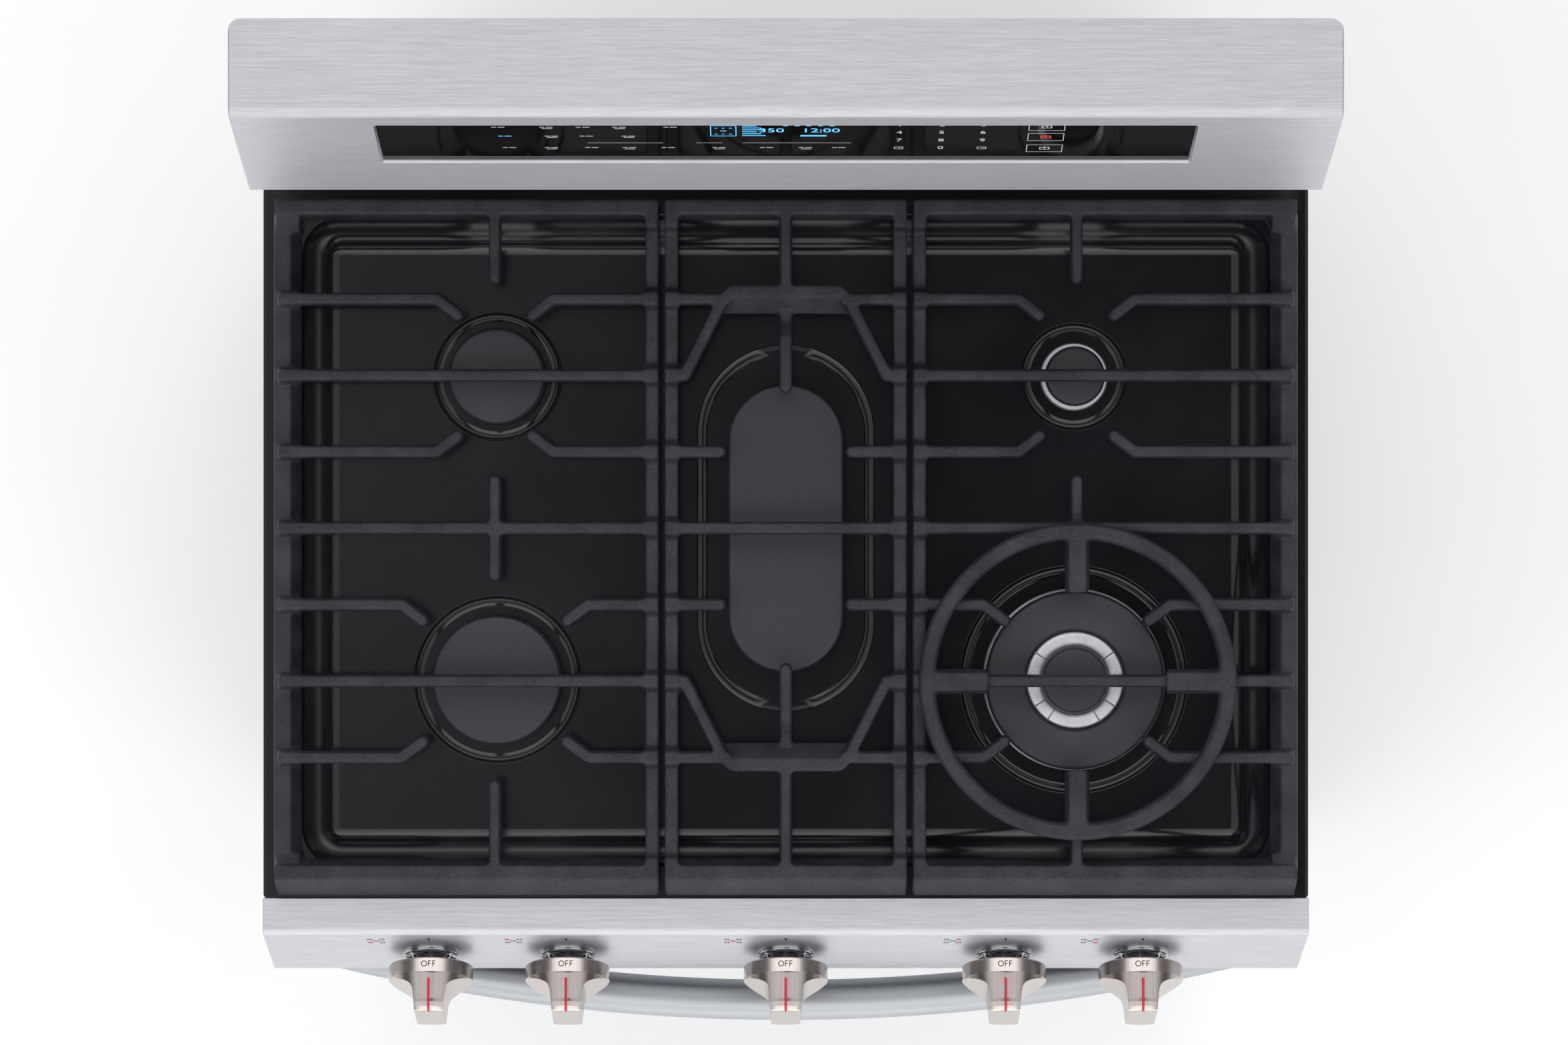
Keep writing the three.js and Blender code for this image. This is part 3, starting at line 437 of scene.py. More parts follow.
# Matt black enamel on pressed steel, with a fine sandy grain.
grain = noise(tree, place, 0.667)
cloud = noise(tree, place, 22.2, 3)
span = stretch(tree, grain, 0.0, 1.0, 0.3, 0.7)
tone = two_tone(tree, span, "191a1e", "292a30")
rough = stretch(tree, cloud, 0.42, 0.56)
wave = bumps(tree, grain, 0.3, 0.2)
coat(tree, skin, Base_Color=tone, Roughness=rough, Normal=wave)

die_cast, tree, skin, place = new_material("die_cast_aluminium")
# Bare aluminium as it leaves the die, then tumbled: bright but not shiny.
grain = noise(tree, place, 0.588)
cloud = noise(tree, place, 16.7, 4)
tone = two_tone(tree, cloud, "a3a4a7", "cfd0d3")
rough = stretch(tree, grain, 0.30, 0.52)
wave = bumps(tree, grain, 0.25, 0.2)
coat(tree, skin, Base_Color=tone, Roughness=rough, Normal=wave, Metallic=1.0)

SEAT = 915.0


def port_comb(x, y, inside, outside, wide):
    """Radial cutters for the flame ports."""
    count = int(2 * math.pi * outside / 4.6)
    tooth = block("port", inside, outside, -wide / 2, wide / 2, 909, 914)
    teeth = []
    for k in range(count):
        spot = Matrix.Translation((x / 1000, y / 1000, 0))
        teeth.append(copied(tooth, spot @ Matrix.Rotation(k * 2 * math.pi / count, 4, "Z")))
    bpy.data.objects.remove(tooth)
    return joined("port_comb", teeth)


def domed(cap, inner=0.0):
    """Section of a cap with a soft top edge; inner > 0 makes it a ring."""
    edge = [(cap - 0.8, SEAT + 0.4), (cap, SEAT + 1.2), (cap, 920.4), (cap - 0.3, 921.8), (cap - 1.0, 922.9),
            (cap - 2.0, 923.6), (cap - 3.2, 923.9)]
    if inner:
        lip = [(inner + 1.6, 923.9), (inner + 0.6, 923.4), (inner, 922.4), (inner, SEAT + 0.4)]
        return edge + lip + [edge[0]]
    return [(0, 908), (5.4, 908), (5.4, SEAT + 0.4)] + edge + [(0, 923.9)]


for name, (x, y, cap, ring) in BURNERS.items():
    if name == "right_front":
        continue
    neck = {"left_rear": 14, "left_front": 18, "right_rear": 11}[name]
    wall = cap - 2.4
    flange = cap + (3.2 if name == "right_rear" else -0.4)
    head = spun("head_" + name, [(0, 880), (neck, 880), (neck, 902.4), (flange - 1, 902.4), (flange, 903.2),
                                 (flange, 905), (flange - 1, 906), (wall, 906.6), (wall, SEAT), (6, SEAT),
                                 (6, 906), (0, 906)], x, y, 72)
    cut(head, port_comb(x, y, wall - 3, wall + 1.5, 1.5))
    smooth(head, 30)
    dress(head, die_cast, "range_body", "aluminium", "burner_head_" + name)
    cap_piece = spun("cap_" + name, domed(cap), x, y, 96)
    smooth(cap_piece, 40)
    dress(cap_piece, cap_black, "cap_" + name, "cap_enamel", "burner_cap_" + name)

oval_head = block("head_centre", -39, 39, MIDDLE - 101.5, MIDDLE + 101.5, 902.4, SEAT)
rounded(oval_head, lambda p, n: abs(n.z) > 0.9, 38.9, 20)
for dy in (-62, 62):
    stub = spun("head_neck", [(0, 880), (12, 880), (12, 904), (0, 904)], 0, MIDDLE + dy, 32)
    combine(oval_head, "UNION", stub)
cut(oval_head, spun("boss_hole", [(0, 906), (6, 906), (6, 920), (0, 920)], 0, MIDDLE, 32))
smooth(oval_head, 30)
dress(oval_head, die_cast, "range_body", "aluminium", "burner_head_centre")
oval_cap = block("cap_centre", -42, 42, MIDDLE - 104.5, MIDDLE + 104.5, SEAT + 0.4, 923.5)
rounded(oval_cap, lambda p, n: abs(n.z) > 0.9, 41.9, 28)
choose(oval_cap, "FACE", lambda p, n: n.z > 0.98)
bpy.ops.mesh.bevel(offset=0.0028, segments=5, affect="EDGES")
bpy.ops.object.mode_set(mode="OBJECT")
boss = spun("cap_boss", [(0, 908), (5.4, 908), (5.4, 917), (0, 917)], 0, MIDDLE, 32)
combine(oval_cap, "UNION", boss)
smooth(oval_cap, 40)
dress(oval_cap, cap_black, "cap_centre", "cap_enamel", "burner_cap_centre")

# The right front burner: an outer ring of flame under a ring cap, and a small
# centre flame inside a bright collar made of six raised segments.
x, y = BURNERS["right_front"][:2]
head = spun("head_right_front", [(0, 880), (22, 880), (22, 902.4), (65.6, 902.4), (66.4, 903.2),
                                 (66.4, 905.6), (65.4, 906.4), (60, 907.4), (60, SEAT), (46, SEAT),
                                 (46, 908), (35.6, 908), (35.6, 916.6), (25.6, 916.6), (25.2, SEAT),
                                 (6, SEAT), (6, 906), (0, 906)], x, y, 96)
cut(head, port_comb(x, y, 57, 61.5, 1.6))
smooth(head, 30)
dress(head, die_cast, "range_body", "aluminium", "burner_head_right_front")
collar = spun("collar_whole", [(24.8, 916.7), (35.8, 916.7), (35.8, 919), (35.3, 920.2), (34.2, 920.9),
                               (32.4, 921.3), (28.4, 921.2), (26.2, 920.7), (25.1, 919.6), (24.8, 916.7)],
              x, y, 120)


def collar_arc(start, end, drop):
    """The part of the collar between two bearings, cut free with radial planes."""
    made = copied(collar, Matrix.Translation((0, 0, -drop / 1000)))
    for bearing, side in ((start + 0.7, 1), (end - 0.7, -1)):
        turn = math.radians(bearing)
        choose(made, "FACE", lambda p, n: True)
        bpy.ops.mesh.bisect(plane_co=(x / 1000, y / 1000, 0.92), use_fill=True, clear_inner=True,
                            plane_no=(-math.sin(turn) * side, math.cos(turn) * side, 0))
        bpy.ops.object.mode_set(mode="OBJECT")
    finish(made, "BEVEL", width=0.0004, segments=2, limit_method="ANGLE", angle_limit=0.9)
    return made


arcs = [collar_arc(a, b, d) for a, b, d in ((36, 145, 0.4), (145, 213, 0), (213, 235, 0.5), (235, 301, 0.8),
                                            (301, 327, 0.5), (-33, 36, 0))]
bpy.data.objects.remove(collar)
for bearing in (172, 8):
    turn = math.radians(bearing)
    screw = spun("collar_screw", [(0, 919), (2.2, 919), (2.2, 921.2), (1.8, 921.6), (0, 921.7)],
                 x + 31 * math.cos(turn), y + 31 * math.sin(turn), 24)
    arcs.append(screw)
arcs = joined("bright_collar", arcs)
smooth(arcs, 35)
bright_collar, tree, skin, place = new_material("satin_collar")
# Bead-blasted stainless steel.
grain = noise(tree, place, 0.455)
cloud = noise(tree, place, 11.1, 3)
tone = two_tone(tree, cloud, "b9bbbf", "e2e3e6")
rough = stretch(tree, grain, 0.44, 0.60)
wave = bumps(tree, grain, 0.2, 0.15)
coat(tree, skin, Base_Color=tone, Roughness=rough, Normal=wave, Metallic=1.0)
dress(arcs, bright_collar, "range_body", "aluminium")
ring_cap = spun("cap_right_front", domed(65, 36.4), x, y, 120)
smooth(ring_cap, 40)
dress(ring_cap, cap_black, "cap_right_front", "cap_enamel", "burner_cap_right_front")
small_cap = spun("cap_right_front_inner", domed(24), x, y, 96)
smooth(small_cap, 40)
dress(small_cap, cap_black, "cap_right_front_inner", "cap_enamel", "burner_cap_right_front_inner")

# Each burner has a white ceramic igniter with a steel tip beside its head.
china, tree, skin, place = new_material("igniter_china")
# Glazed white china, browned by the flame.
soot = noise(tree, place, 3.333, 3)
tone = two_tone(tree, soot, "8a8680", "e6e3dc")
coat(tree, skin, Base_Color=tone, Roughness=0.35)
for name, (x, y, cap, ring) in BURNERS.items():
    spot = (x, y + cap - 6.2)
    if name == "right_front":
        spot = (x, y + 41)
    pin = spun("igniter_" + name, [(0, 906), (1.9, 906), (1.9, 912.4), (1.2, 913), (0.6, 913.2),
                                   (0.6, 914.8), (0, 914.9)], *spot, 20)
    smooth(pin)
    dress(pin, china, "range_body", "aluminium")

# ---------------------------------------------------------------- grates
# Three sand-cast iron grates, left, centre and right. Tapered bars leave the
# mould with soft edges and a fine pebbled skin under matt black enamel.
TOP = 952.0
UNDER = 938.0
PITCH = 55.2

cast_iron, tree, skin, place = new_material("sand_cast_iron")
# Matt black over a sand-cast skin: 1.3 mm grit, slightly polished on the crests.
grit = noise(tree, place, 1.316, 3, Roughness=0.6)
cloud = noise(tree, place, 26.3, 4)
both = maths(tree, "ADD", grit, cloud)
span = stretch(tree, both, 0.0, 1.0, 0.75, 1.3)
tone = two_tone(tree, span, "1a1b1f", "303137")
worn = stretch(tree, grit, 0.66, 0.48, 0.3, 0.7)
wave = bumps(tree, grit, 0.55, 0.5)
coat(tree, skin, Base_Color=tone, Roughness=worn, Normal=wave, Specular_IOR_Level=0.35)

# One tapered bar, a metre long, from which every straight stretch is copied.
pattern = block("bar_pattern", 0, 1000, -4.8, 4.8, UNDER, TOP)
choose(pattern, "FACE", lambda p, n: n.z > 0.9)
bpy.ops.transform.resize(value=(1, 7.4 / 9.6, 1))
bpy.ops.object.mode_set(mode="OBJECT")
tip_pattern = spun("tip_pattern", [(0, UNDER), (4.8, UNDER), (3.7, TOP), (0, TOP)], 0, 0, 16)


def lay(a, b):
    """A bar between two plan points in mm."""
    start, way = Vector((*a, 0)) / 1000, (Vector(b) - Vector(a))
    turn = Matrix.Rotation(math.atan2(way.y, way.x), 4, "Z")
    size = Matrix.Diagonal((way.length / 1000, 1, 1, 1))
    return copied(pattern, Matrix.Translation(start) @ turn @ size)


def tip(x, y):
    return copied(tip_pattern, Matrix.Translation((x / 1000, y / 1000, 0)))


def wedge(name, x0, x1, y0, y1, z0, z1, *moves):
    """A block whose top corners are then drawn in: moves are (test, offset in mm)."""
    made = block(name, x0, x1, y0, y1, z0, z1)
    for test, offset in moves:
        choose(made, "VERT", lambda p, n: test(p))
        bpy.ops.transform.translate(value=Vector(offset) / 1000)
    if moves:
        bpy.ops.object.mode_set(mode="OBJECT")
    return made


def row_y(row):
    return MIDDLE + (4 - row) * PITCH


def end_rails(x0, x1):
    """The rails across the back and the front, the front one with its long slope."""
    rear = wedge("rear_rail", x0, x1, 231.5, 247, 925.5, TOP,
                 (lambda p: p.z > 940 and p.y > 240, (0, -1.3, 0)),
                 (lambda p: p.z > 940 and p.y < 240, (0, 3.2, 0)))
    front = wedge("front_rail", x0, x1, -258, -231, 925.5, TOP,
                  (lambda p: p.z > 940 and p.y < -240, (0, 13.4, 0)),
                  (lambda p: p.z > 940 and p.y > -240, (0, -4, 0)))
    return [rear, front]


def outer_rail(side):
    """The broad low rail down the outside: bars cross it on saddles and slope off at its edge."""
    lower = wedge("outer_rail", 350.5, 371.5, -240, 236, 925.5, 941,
                  (lambda p: p.z > 940 and p.x < 360, (7.5, 0, 0)),
                  (lambda p: p.z > 940 and p.x > 360, (-1.5, 0, 0)))
    parts = [lower]
    for row in range(1, 8):
        y = row_y(row)
        parts.append(wedge("saddle", 351, 371, y - 8, y + 8, 930, TOP,
                           (lambda p: p.z > 940 and p.x > 360, (-6.4, 0, 0)),
                           (lambda p: p.z > 940 and p.y < y, (0, 4.2, 0)),
                           (lambda p: p.z > 940 and p.y > y, (0, -4.2, 0))))
    for near, far in ((-1, -226), (1, 222)):
        parts.append(wedge("rail_end", 351, 371, *sorted((far, far + near * 14)), 926, TOP,
                           (lambda p: p.z > 940 and p.x > 360, (-3, 0, 0)),
                           (lambda p: p.z > 940 and p.y * near < far * near + 7, (0, 0, -11))))
    if side < 0:
        for part in parts:
            part.data.transform(Matrix.Diagonal((-1, 1, 1, 1)))
            part.data.flip_normals()
    return parts


def inner_rail(x0, x1):
    """The narrow rail beside a neighbouring grate; its top dips between the bars."""
    parts = [block("inner_rail", x0, x1, -240, 236, 931, 943)]
    for row in range(1, 8):
        y = row_y(row)
        parts.append(wedge("saddle", x0, x1, y - 12, y + 12, 935, TOP,
                           (lambda p: p.z > 940 and p.y < y, (0, 7.6, 0)),
                           (lambda p: p.z > 940 and p.y > y, (0, -7.6, 0))))
    for near, far in ((-1, -222), (1, 218)):
        parts.append(wedge("rail_end", x0, x1, *sorted((far, far + near * 18)), 931, TOP,
                           (lambda p: p.z > 940 and p.y * near < far * near + 9, (0, near * 8, 0))))
    return parts


def cast(name, parts, body):
    """Fuses the parts into one casting with softened edges."""
    made = joined(name, parts)
    finish(made, "REMESH", mode="VOXEL", voxel_size=0.0015, adaptivity=0.0)
    finish(made, "SMOOTH", factor=0.5, iterations=2)
    deselect()
    made.select_set(True)
    bpy.context.view_layer.objects.active = made
    bpy.ops.object.shade_smooth()
    dress(made, cast_iron, body, "cast_iron", name)
    return made


def side_grate(side):
    cx = SIDE * side
    inner, outer = 91.6 * side, 366 * side
    parts = end_rails(*sorted((inner, 369 * side)))
    parts += outer_rail(side)
    parts += inner_rail(*sorted((inner, inner + 10 * side)))
    for row in (2, 4, 6):
        parts.append(lay((inner + 2 * side, row_y(row)), (outer, row_y(row))))
    for row, bend, reach, toward in ((1, 42, 27, -1), (3, 42, 27, 1), (5, 67.5, 52, -1), (7, 67.5, 52, 1)):
        y = row_y(row)
        for edge, way in ((inner + 2 * side, -side), (outer, side)):
            parts.append(lay((edge, y), (cx + way * bend, y)))
            parts.append(tip(cx + way * bend, y))
            parts.append(lay((cx + way * bend, y), (cx + way * reach, y + toward * 11.5)))
            parts.append(tip(cx + way * reach, y + toward * 11.5))
    parts += [lay((cx, 236), (cx, MIDDLE + 181)), tip(cx, MIDDLE + 181)]
    parts += [lay((cx, MIDDLE + 34), (cx, MIDDLE - 34)), tip(cx, MIDDLE + 34), tip(cx, MIDDLE - 34)]
    parts += [lay((cx, -236), (cx, MIDDLE - 186)), tip(cx, MIDDLE - 186)]
    return parts


cast("grate_left", side_grate(-1), "grate_left")
cast("grate_right", side_grate(1), "grate_right")


def centre_end(way, rail):
    """The broad bevelled bar, its two slanting arms and the tongue that points at the burner."""
    def at(along):
        return MIDDLE + way * along
    low, high = sorted((at(180), at(154)))
    broad = wedge("broad_bar", -46, 46, low, high, UNDER, TOP,
                  (lambda p: abs(p.x) > 40 and (p.y - MIDDLE) * way > 170, (0, -way * 4.5, 0)),
                  (lambda p: p.z > 945 and (p.y - MIDDLE) * way < 160, (0, way * 13, 0)))
    rounded(broad, lambda p, n: abs(n.z) > 0.9 and (p.y - MIDDLE) * way > 165, 9, 4)
    low, high = sorted((at(158), at(101)))
    tongue = wedge("tongue", -4.4, 4.4, low, high, 936, TOP,
                   (lambda p: p.z > 945 and (p.y - MIDDLE) * way > 150, (0, -way * 20, 0)),)
    root = wedge("tongue_root", -4.4, 4.4, *sorted((at(160), at(134))), 934, 943)
    parts = [broad, tongue, root, lay((0, rail), (0, at(176))), tip(0, at(102))]
    for side in (-1, 1):
        parts.append(lay((85 * side, at(165.6)), (40 * side, at(165.6))))
        parts.append(lay((44 * side, at(168)), (73 * side, at(110.4))))
        parts.append(tip(73 * side, at(110.4)))
        parts.append(lay((85 * side, at(110.4)), (73 * side, at(110.4))))
        parts.append(lay((85 * side, at(PITCH)), (47.5 * side, at(PITCH))))
        parts.append(tip(47.5 * side, at(PITCH)))
    return parts


centre = end_rails(-87.5, 87.5) + inner_rail(-87.5, -77.7) + inner_rail(77.7, 87.5)
centre += [lay((-85, MIDDLE), (85, MIDDLE))] + centre_end(1, 236) + centre_end(-1, -236)
cast("grate_centre", centre, "grate_centre")

# ---------------------------------------------------------------- wok ring
# A loose cast ring with four lugs that slope to the middle; notches under the
# lugs drop over the bars of the right grate.
px, py = SIDE, MIDDLE - AHEAD
hoop = spun("wok_hoop", [(102.2, 952.5), (114.4, 952.5), (114.4, 961.5), (112.2, 965.2), (104.6, 965.2),
                         (102.2, 961.5), (102.2, 952.5)], px, py, 96)
parts = [hoop]
lug = wedge("wok_lug", 64, 105, -9.2, 9.2, 952.5, 964.8,
            (lambda p: p.z > 960 and p.x < 80, (0, 0, -5.6)),
            (lambda p: p.z > 956 and p.y > 0, (0, -2.8, 0)), (lambda p: p.z > 956 and p.y < 0, (0, 2.8, 0)))
rounded(lug, lambda p, n: abs(n.z) > 0.8 and p.x < 70, 2, 3)
notch = block("wok_notch", 60, 84, -4.9, 4.9, 950, 955)
cut(lug, notch)
for quarter in range(4):
    turn = Matrix.Translation((px / 1000, py / 1000, 0)) @ Matrix.Rotation(quarter * math.pi / 2, 4, "Z")
    parts.append(copied(lug, turn))
bpy.data.objects.remove(lug)
cast("wok_ring", parts, "wok_ring")
bpy.data.objects.remove(pattern)
bpy.data.objects.remove(tip_pattern)

# ---------------------------------------------------------------- control panel
# One folded strip of brushed stainless steel: a flat ledge in front of the
# cooktop, a rolled bend and a slanted face with five stem holes.

def brushed(name, low, high):
    """Stainless sheet rubbed along its width; low and high bound its roughness."""
    steel, tree, skin, place = new_material(name)
    # Fine lines rubbed along the width: scratches 18 and 45 mm long over a cloudy sheen.
    fine = drawn(tree, place, (18.182, 0.526, 0.526))
    hair = noise(tree, fine, 1000, 4, Roughness=0.6)
    wide = drawn(tree, place, (45.5, 1.111, 1.111))
    line = noise(tree, wide, 1000, 3)
    haze = noise(tree, place, 200)
    both = blended(tree, 0.45, hair, line)
    span = stretch(tree, both, 0.0, 1.0, 0.36, 0.64)
    tone = two_tone(tree, span, "b9babf", "cdced3")
    rough = stretch(tree, haze, low, high)
    wave = bumps(tree, both, 0.35, 0.1)
    grain = add(tree, "Tangent", direction_type="RADIAL", axis="X")
    coat(tree, skin, Base_Color=tone, Roughness=rough, Normal=wave, Tangent=grain.outputs["Tangent"],
         Metallic=1.0, Anisotropic=0.7)
    return steel


brushed_steel = brushed("brushed_stainless_panel", 0.40, 0.46)

PANEL_LEAN = 0.3184


def leaning(x, y, z, lean):
    """The frame of a leaning face: across, up the face, out of it."""
    rows = [(1, 0, 0), (0, math.sin(lean), math.cos(lean)), (0, -math.cos(lean), math.sin(lean))]
    return Matrix.Translation((x / 1000, y / 1000, z / 1000)) @ Matrix(rows).transposed().to_4x4()


def on_panel(x):
    """The frame of the slanted face at a knob's hole."""
    return leaning(x, -302.3, 876, PANEL_LEAN)


def rounded_bends(obj, bends):
    """Bevels the long folds of a strip: (y, z, radius) in mm."""
    for y, z, radius in bends:
        choose(obj, "EDGE", lambda p, n: abs(n.x) > 0.9 and math.hypot(p.y - y, p.z - z) < 0.2)
        bpy.ops.mesh.bevel(offset=radius / 1000, segments=8, affect="EDGES")
    bpy.ops.object.mode_set(mode="OBJECT")


SECTION = [(-259.9, 925), (-286.2, 925), (-318.5, 827), (-317, 823.4), (-300, 823.4), (-300, 840),
           (-280, 904), (-259.9, 904)]
panel = extruded("control_panel", [(-379.5, y, z) for y, z in SECTION], (759, 0, 0))
rounded_bends(panel, [(-286.2, 925, 4.5), (-318.5, 827, 2), (-317, 823.4, 0.8), (-259.9, 925, 0.8)])
rounded(panel, lambda p, n: abs(p.x) > 379.4, 0.7, 3)
KNOBS = {"left_front": -260, "left_rear": -160, "centre": 0, "right_rear": 160, "right_front": 260}
for x in KNOBS.values():
    hole = spun("stem_hole", [(0, -60), (7.5, -60), (7.5, 8), (0, 8)], 0, 0, 32)
    hole.data.transform(on_panel(x))
    cut(panel, hole)
smooth(panel, 30)
finish(panel, "WEIGHTED_NORMAL", keep_sharp=True)
dress(panel, brushed_steel, "range_body", "stainless", "control_panel")

black_print, tree, skin, place = new_material("black_print")
# Screen-printed enamel ink, nearly matt.
ink = noise(tree, place, 1.111)
tone = two_tone(tree, ink, "0e0f11", "26272a")
coat(tree, skin, Base_Color=tone, Roughness=0.7, Specular_IOR_Level=0.2)
red_print, tree, skin, place = new_material("red_print")
# Red enamel ink.
ink = noise(tree, place, 1.111)
tone = two_tone(tree, ink, "9c1226", "c02038")
coat(tree, skin, Base_Color=tone, Roughness=0.35)
dark_chrome, tree, skin, place = new_material("bezel_chrome")
# Bright chrome over pressed steel, a little smeared.
smear = noise(tree, place, 8.333, 3)
rough = stretch(tree, smear, 0.08, 0.22)
coat(tree, skin, Roughness=rough, Base_Color=colour("a8aaad"), Metallic=1.0)

# Printed on the face: an index mark over each knob and a small plan of the five
# burners with the one it works in red. A pressed chrome bezel rings each hole.
DOTS = {"left_front": (-4.4, -4.5), "left_rear": (-4.4, 4.5), "centre": (0, 0), "right_rear": (4.4, 4.5),
        "right_front": (4.4, -4.5)}
RING = [(1.1, 0.01), (2.1, 0.01), (2.1, 0.06), (1.1, 0.06), (1.1, 0.01)]
DOT = [(0, 0.01), (2.3, 0.01), (2.3, 0.08), (0, 0.08)]
bezel = spun("bezel", [(13.5, 0.05), (20.8, 0.05), (20.8, 2.4), (20.2, 3.4), (18.8, 3.8), (17.4, 3.2),
                       (16.6, 2.2), (15.4, 2.2), (14.4, 3.2), (13.5, 3.2), (13.5, 0.05)], 0, 0, 72)
notches = [block("bezel_notch", 15, 19, -1.1, 1.1, 1.4, 6)]
for k in range(1, 8):
    notches.append(copied(notches[0], Matrix.Rotation(k * math.pi / 4, 4, "Z")))
cut(bezel, joined("bezel_notches", notches))
for name, x in KNOBS.items():
    at_face = on_panel(x)
    beside = at_face @ Matrix.Translation((-0.0385, 0.0315, 0))
    mark = block("index_" + name, -0.8, 0.8, 33.6, 39.6, 0.01, 0.06)
    mark.data.transform(at_face)
    dress(mark, black_print, "range_body", "paint")
    plan = []
    for burner, (dx, dy) in DOTS.items():
        ring = spun("plan_" + name, RING, dx, dy, 20)
        ring.data.transform(beside)
        if burner == name:
            dot = spun("plan_dot_" + name, DOT, dx, dy, 20)
            dot.data.transform(beside)
            dress(dot, red_print, "range_body", "paint")
        plan.append(ring)
    dress(joined("plan_" + name, plan), black_print, "range_body", "paint")
    seat = copied(bezel, at_face)
    seat.name = "bezel_" + name
    smooth(seat, 35)
    dress(seat, dark_chrome, "range_body", "chrome")
bpy.data.objects.remove(bezel)

# ---------------------------------------------------------------- knobs
# Cast zinc knobs under satin nickel: a broad skirt that two scoops narrow to an
# upright grip, with a red enamel line let into the top.
satin_nickel, tree, skin, place = new_material("satin_nickel")
# Satin nickel plate: hairlines 0.8 mm apart run up the grip.
fine = drawn(tree, place, (0.833, 50, 50))
hair = noise(tree, fine, 1000)
tone = two_tone(tree, hair, "b2a9a5", "c8c0bc")
rough = stretch(tree, hair, 0.20, 0.27)
coat(tree, skin, Base_Color=tone, Roughness=rough, Metallic=1.0)

knob = spun("knob", [(0, 11.3), (29.4, 11.3), (30.4, 11.7), (30.8, 12.5), (30.8, 22.2), (30.5, 23.4),
                     (29.2, 31), (27.4, 41.6), (26.8, 43.8), (25.4, 47.0), (24.2, 48.9), (22.8, 49.7),
                     (21, 50), (0, 50)], 0, 0, 128)
SCOOP = [(10.4, 52), (10.5, 49.2), (10.8, 46), (11.2, 41), (11.6, 36.6), (12.2, 33.4), (13.2, 30.9),
         (15.2, 28.8), (18.2, 27.1), (22, 25.5), (26, 23.9), (30, 22.3), (33, 21.2), (42, 21.2), (42, 52)]
for side in (1, -1):
    cut(knob, extruded("scoop", [(x * side, -42, z) for x, z in SCOOP], (0, 84, 0)))
cut(knob, spun("knob_hollow", [(8, 5), (26, 5), (26, 21), (8, 21), (8, 5)], 0, 0, 64),
    spun("knob_bore", [(0, 5), (3.4, 5), (3.4, 34), (0, 34)], 0, 0, 32))
choose(knob, "FACE", lambda p, n: p.z > 49.9)
bpy.ops.mesh.dissolve_faces()
bpy.ops.object.mode_set(mode="OBJECT")
finish(knob, "BEVEL", width=0.0013, segments=4, limit_method="ANGLE", angle_limit=0.5, loop_slide=False,
       harden_normals=True)
finish(knob, "WEIGHTED_NORMAL", keep_sharp=True)
inlay = block("pointer", -1.0, 1.0, 20, 31.6, 27, 50.6)
shape = spun("pointer_skin", [(0, 11.4), (30.9, 22.3), (27.5, 41.7), (26.9, 43.9), (25.5, 47.1), (24.3, 49),
                              (22.9, 49.8), (21, 50.1), (0, 50.1)], 0, 0, 128)
combine(inlay, "INTERSECT", shape)
# The skirt reads OFF at rest: three printed letters, 4.4 mm tall.
letters = [spun("letter_o", [(1.6, -0.1), (2.2, -0.1), (2.2, 0.1), (1.6, 0.1), (1.6, -0.1)], -3.4, 0, 32)]
for x in (-0.6, 2.6):
    letters.append(block("letter_stem", x, x + 0.6, -2.2, 2.2, -0.1, 0.1))
    letters.append(block("letter_arm", x + 0.6, x + 2.3, 1.6, 2.2, -0.1, 0.1))
    letters.append(block("letter_bar", x + 0.6, x + 2.0, -0.3, 0.3, -0.1, 0.1))
off = joined("off_word", letters)
SKIRT = 0.0308
for vertex in off.data.vertices:
    turn, reach = vertex.co.x / SKIRT, SKIRT + vertex.co.z
    vertex.co = (reach * math.sin(turn), reach * math.cos(turn), 0.0166 - vertex.co.y)
for name, x in KNOBS.items():
    at_face = on_panel(x)
    word = copied(off, at_face)
    word.name = "off_word_" + name
    dress(word, black_print, "knob_" + name, "paint")
    piece = copied(knob, at_face)
    piece.name = "knob_" + name
    dress(piece, satin_nickel, "knob_" + name, "nickel", "knob_" + name)
    line = copied(inlay, at_face)
    line.name = "pointer_" + name
    dress(line, red_print, "knob_" + name, "paint")
    stem = spun("stem_" + name, [(0, -35), (3, -35), (3, -18), (5.5, -18), (5.5, -14), (3, -14), (3, 32.4),
                                 (2.4, 33), (0, 33)], 0, 0, 32)
    stem.data.transform(at_face)
    smooth(stem)
    dress(stem, die_cast, "stem_" + name, "aluminium", "valve_stem_" + name)
bpy.data.objects.remove(knob)
bpy.data.objects.remove(inlay)
bpy.data.objects.remove(off)

# ---------------------------------------------------------------- door handle
# A bowed stainless tube 30 mm thick, swept along a 1.4 m radius, is let into
# two rounded end blocks that stand off the door.
BOW = 1432.0
bow_centre = (0, (-358.9 + 15 + BOW) / 1000, 0.8)
deselect()
bpy.ops.mesh.primitive_circle_add(vertices=56, radius=0.015, fill_type="NGON", rotation=(0, math.pi / 2, 0),
                                  location=(0, (-358.9 + 15) / 1000, 0.8))
tube = bpy.context.object
tube.name = "door_handle"
bpy.ops.object.transform_apply(location=True, rotation=True, scale=True)
reach = math.asin(352 / BOW)
to_bow = Matrix.Translation(bow_centre)
tube.data.transform(to_bow @ Matrix.Rotation(reach, 4, "Z") @ to_bow.inverted())
choose(tube, "FACE", lambda p, n: True)
bpy.ops.mesh.spin(steps=72, angle=2 * reach, center=bow_centre, axis=(0, 0, 1))
bpy.ops.mesh.select_all(action="SELECT")
bpy.ops.mesh.normals_make_consistent(inside=False)
bpy.ops.object.mode_set(mode="OBJECT")
smooth(tube, 40)
satin_tube, tree, skin, place = new_material("satin_tube")
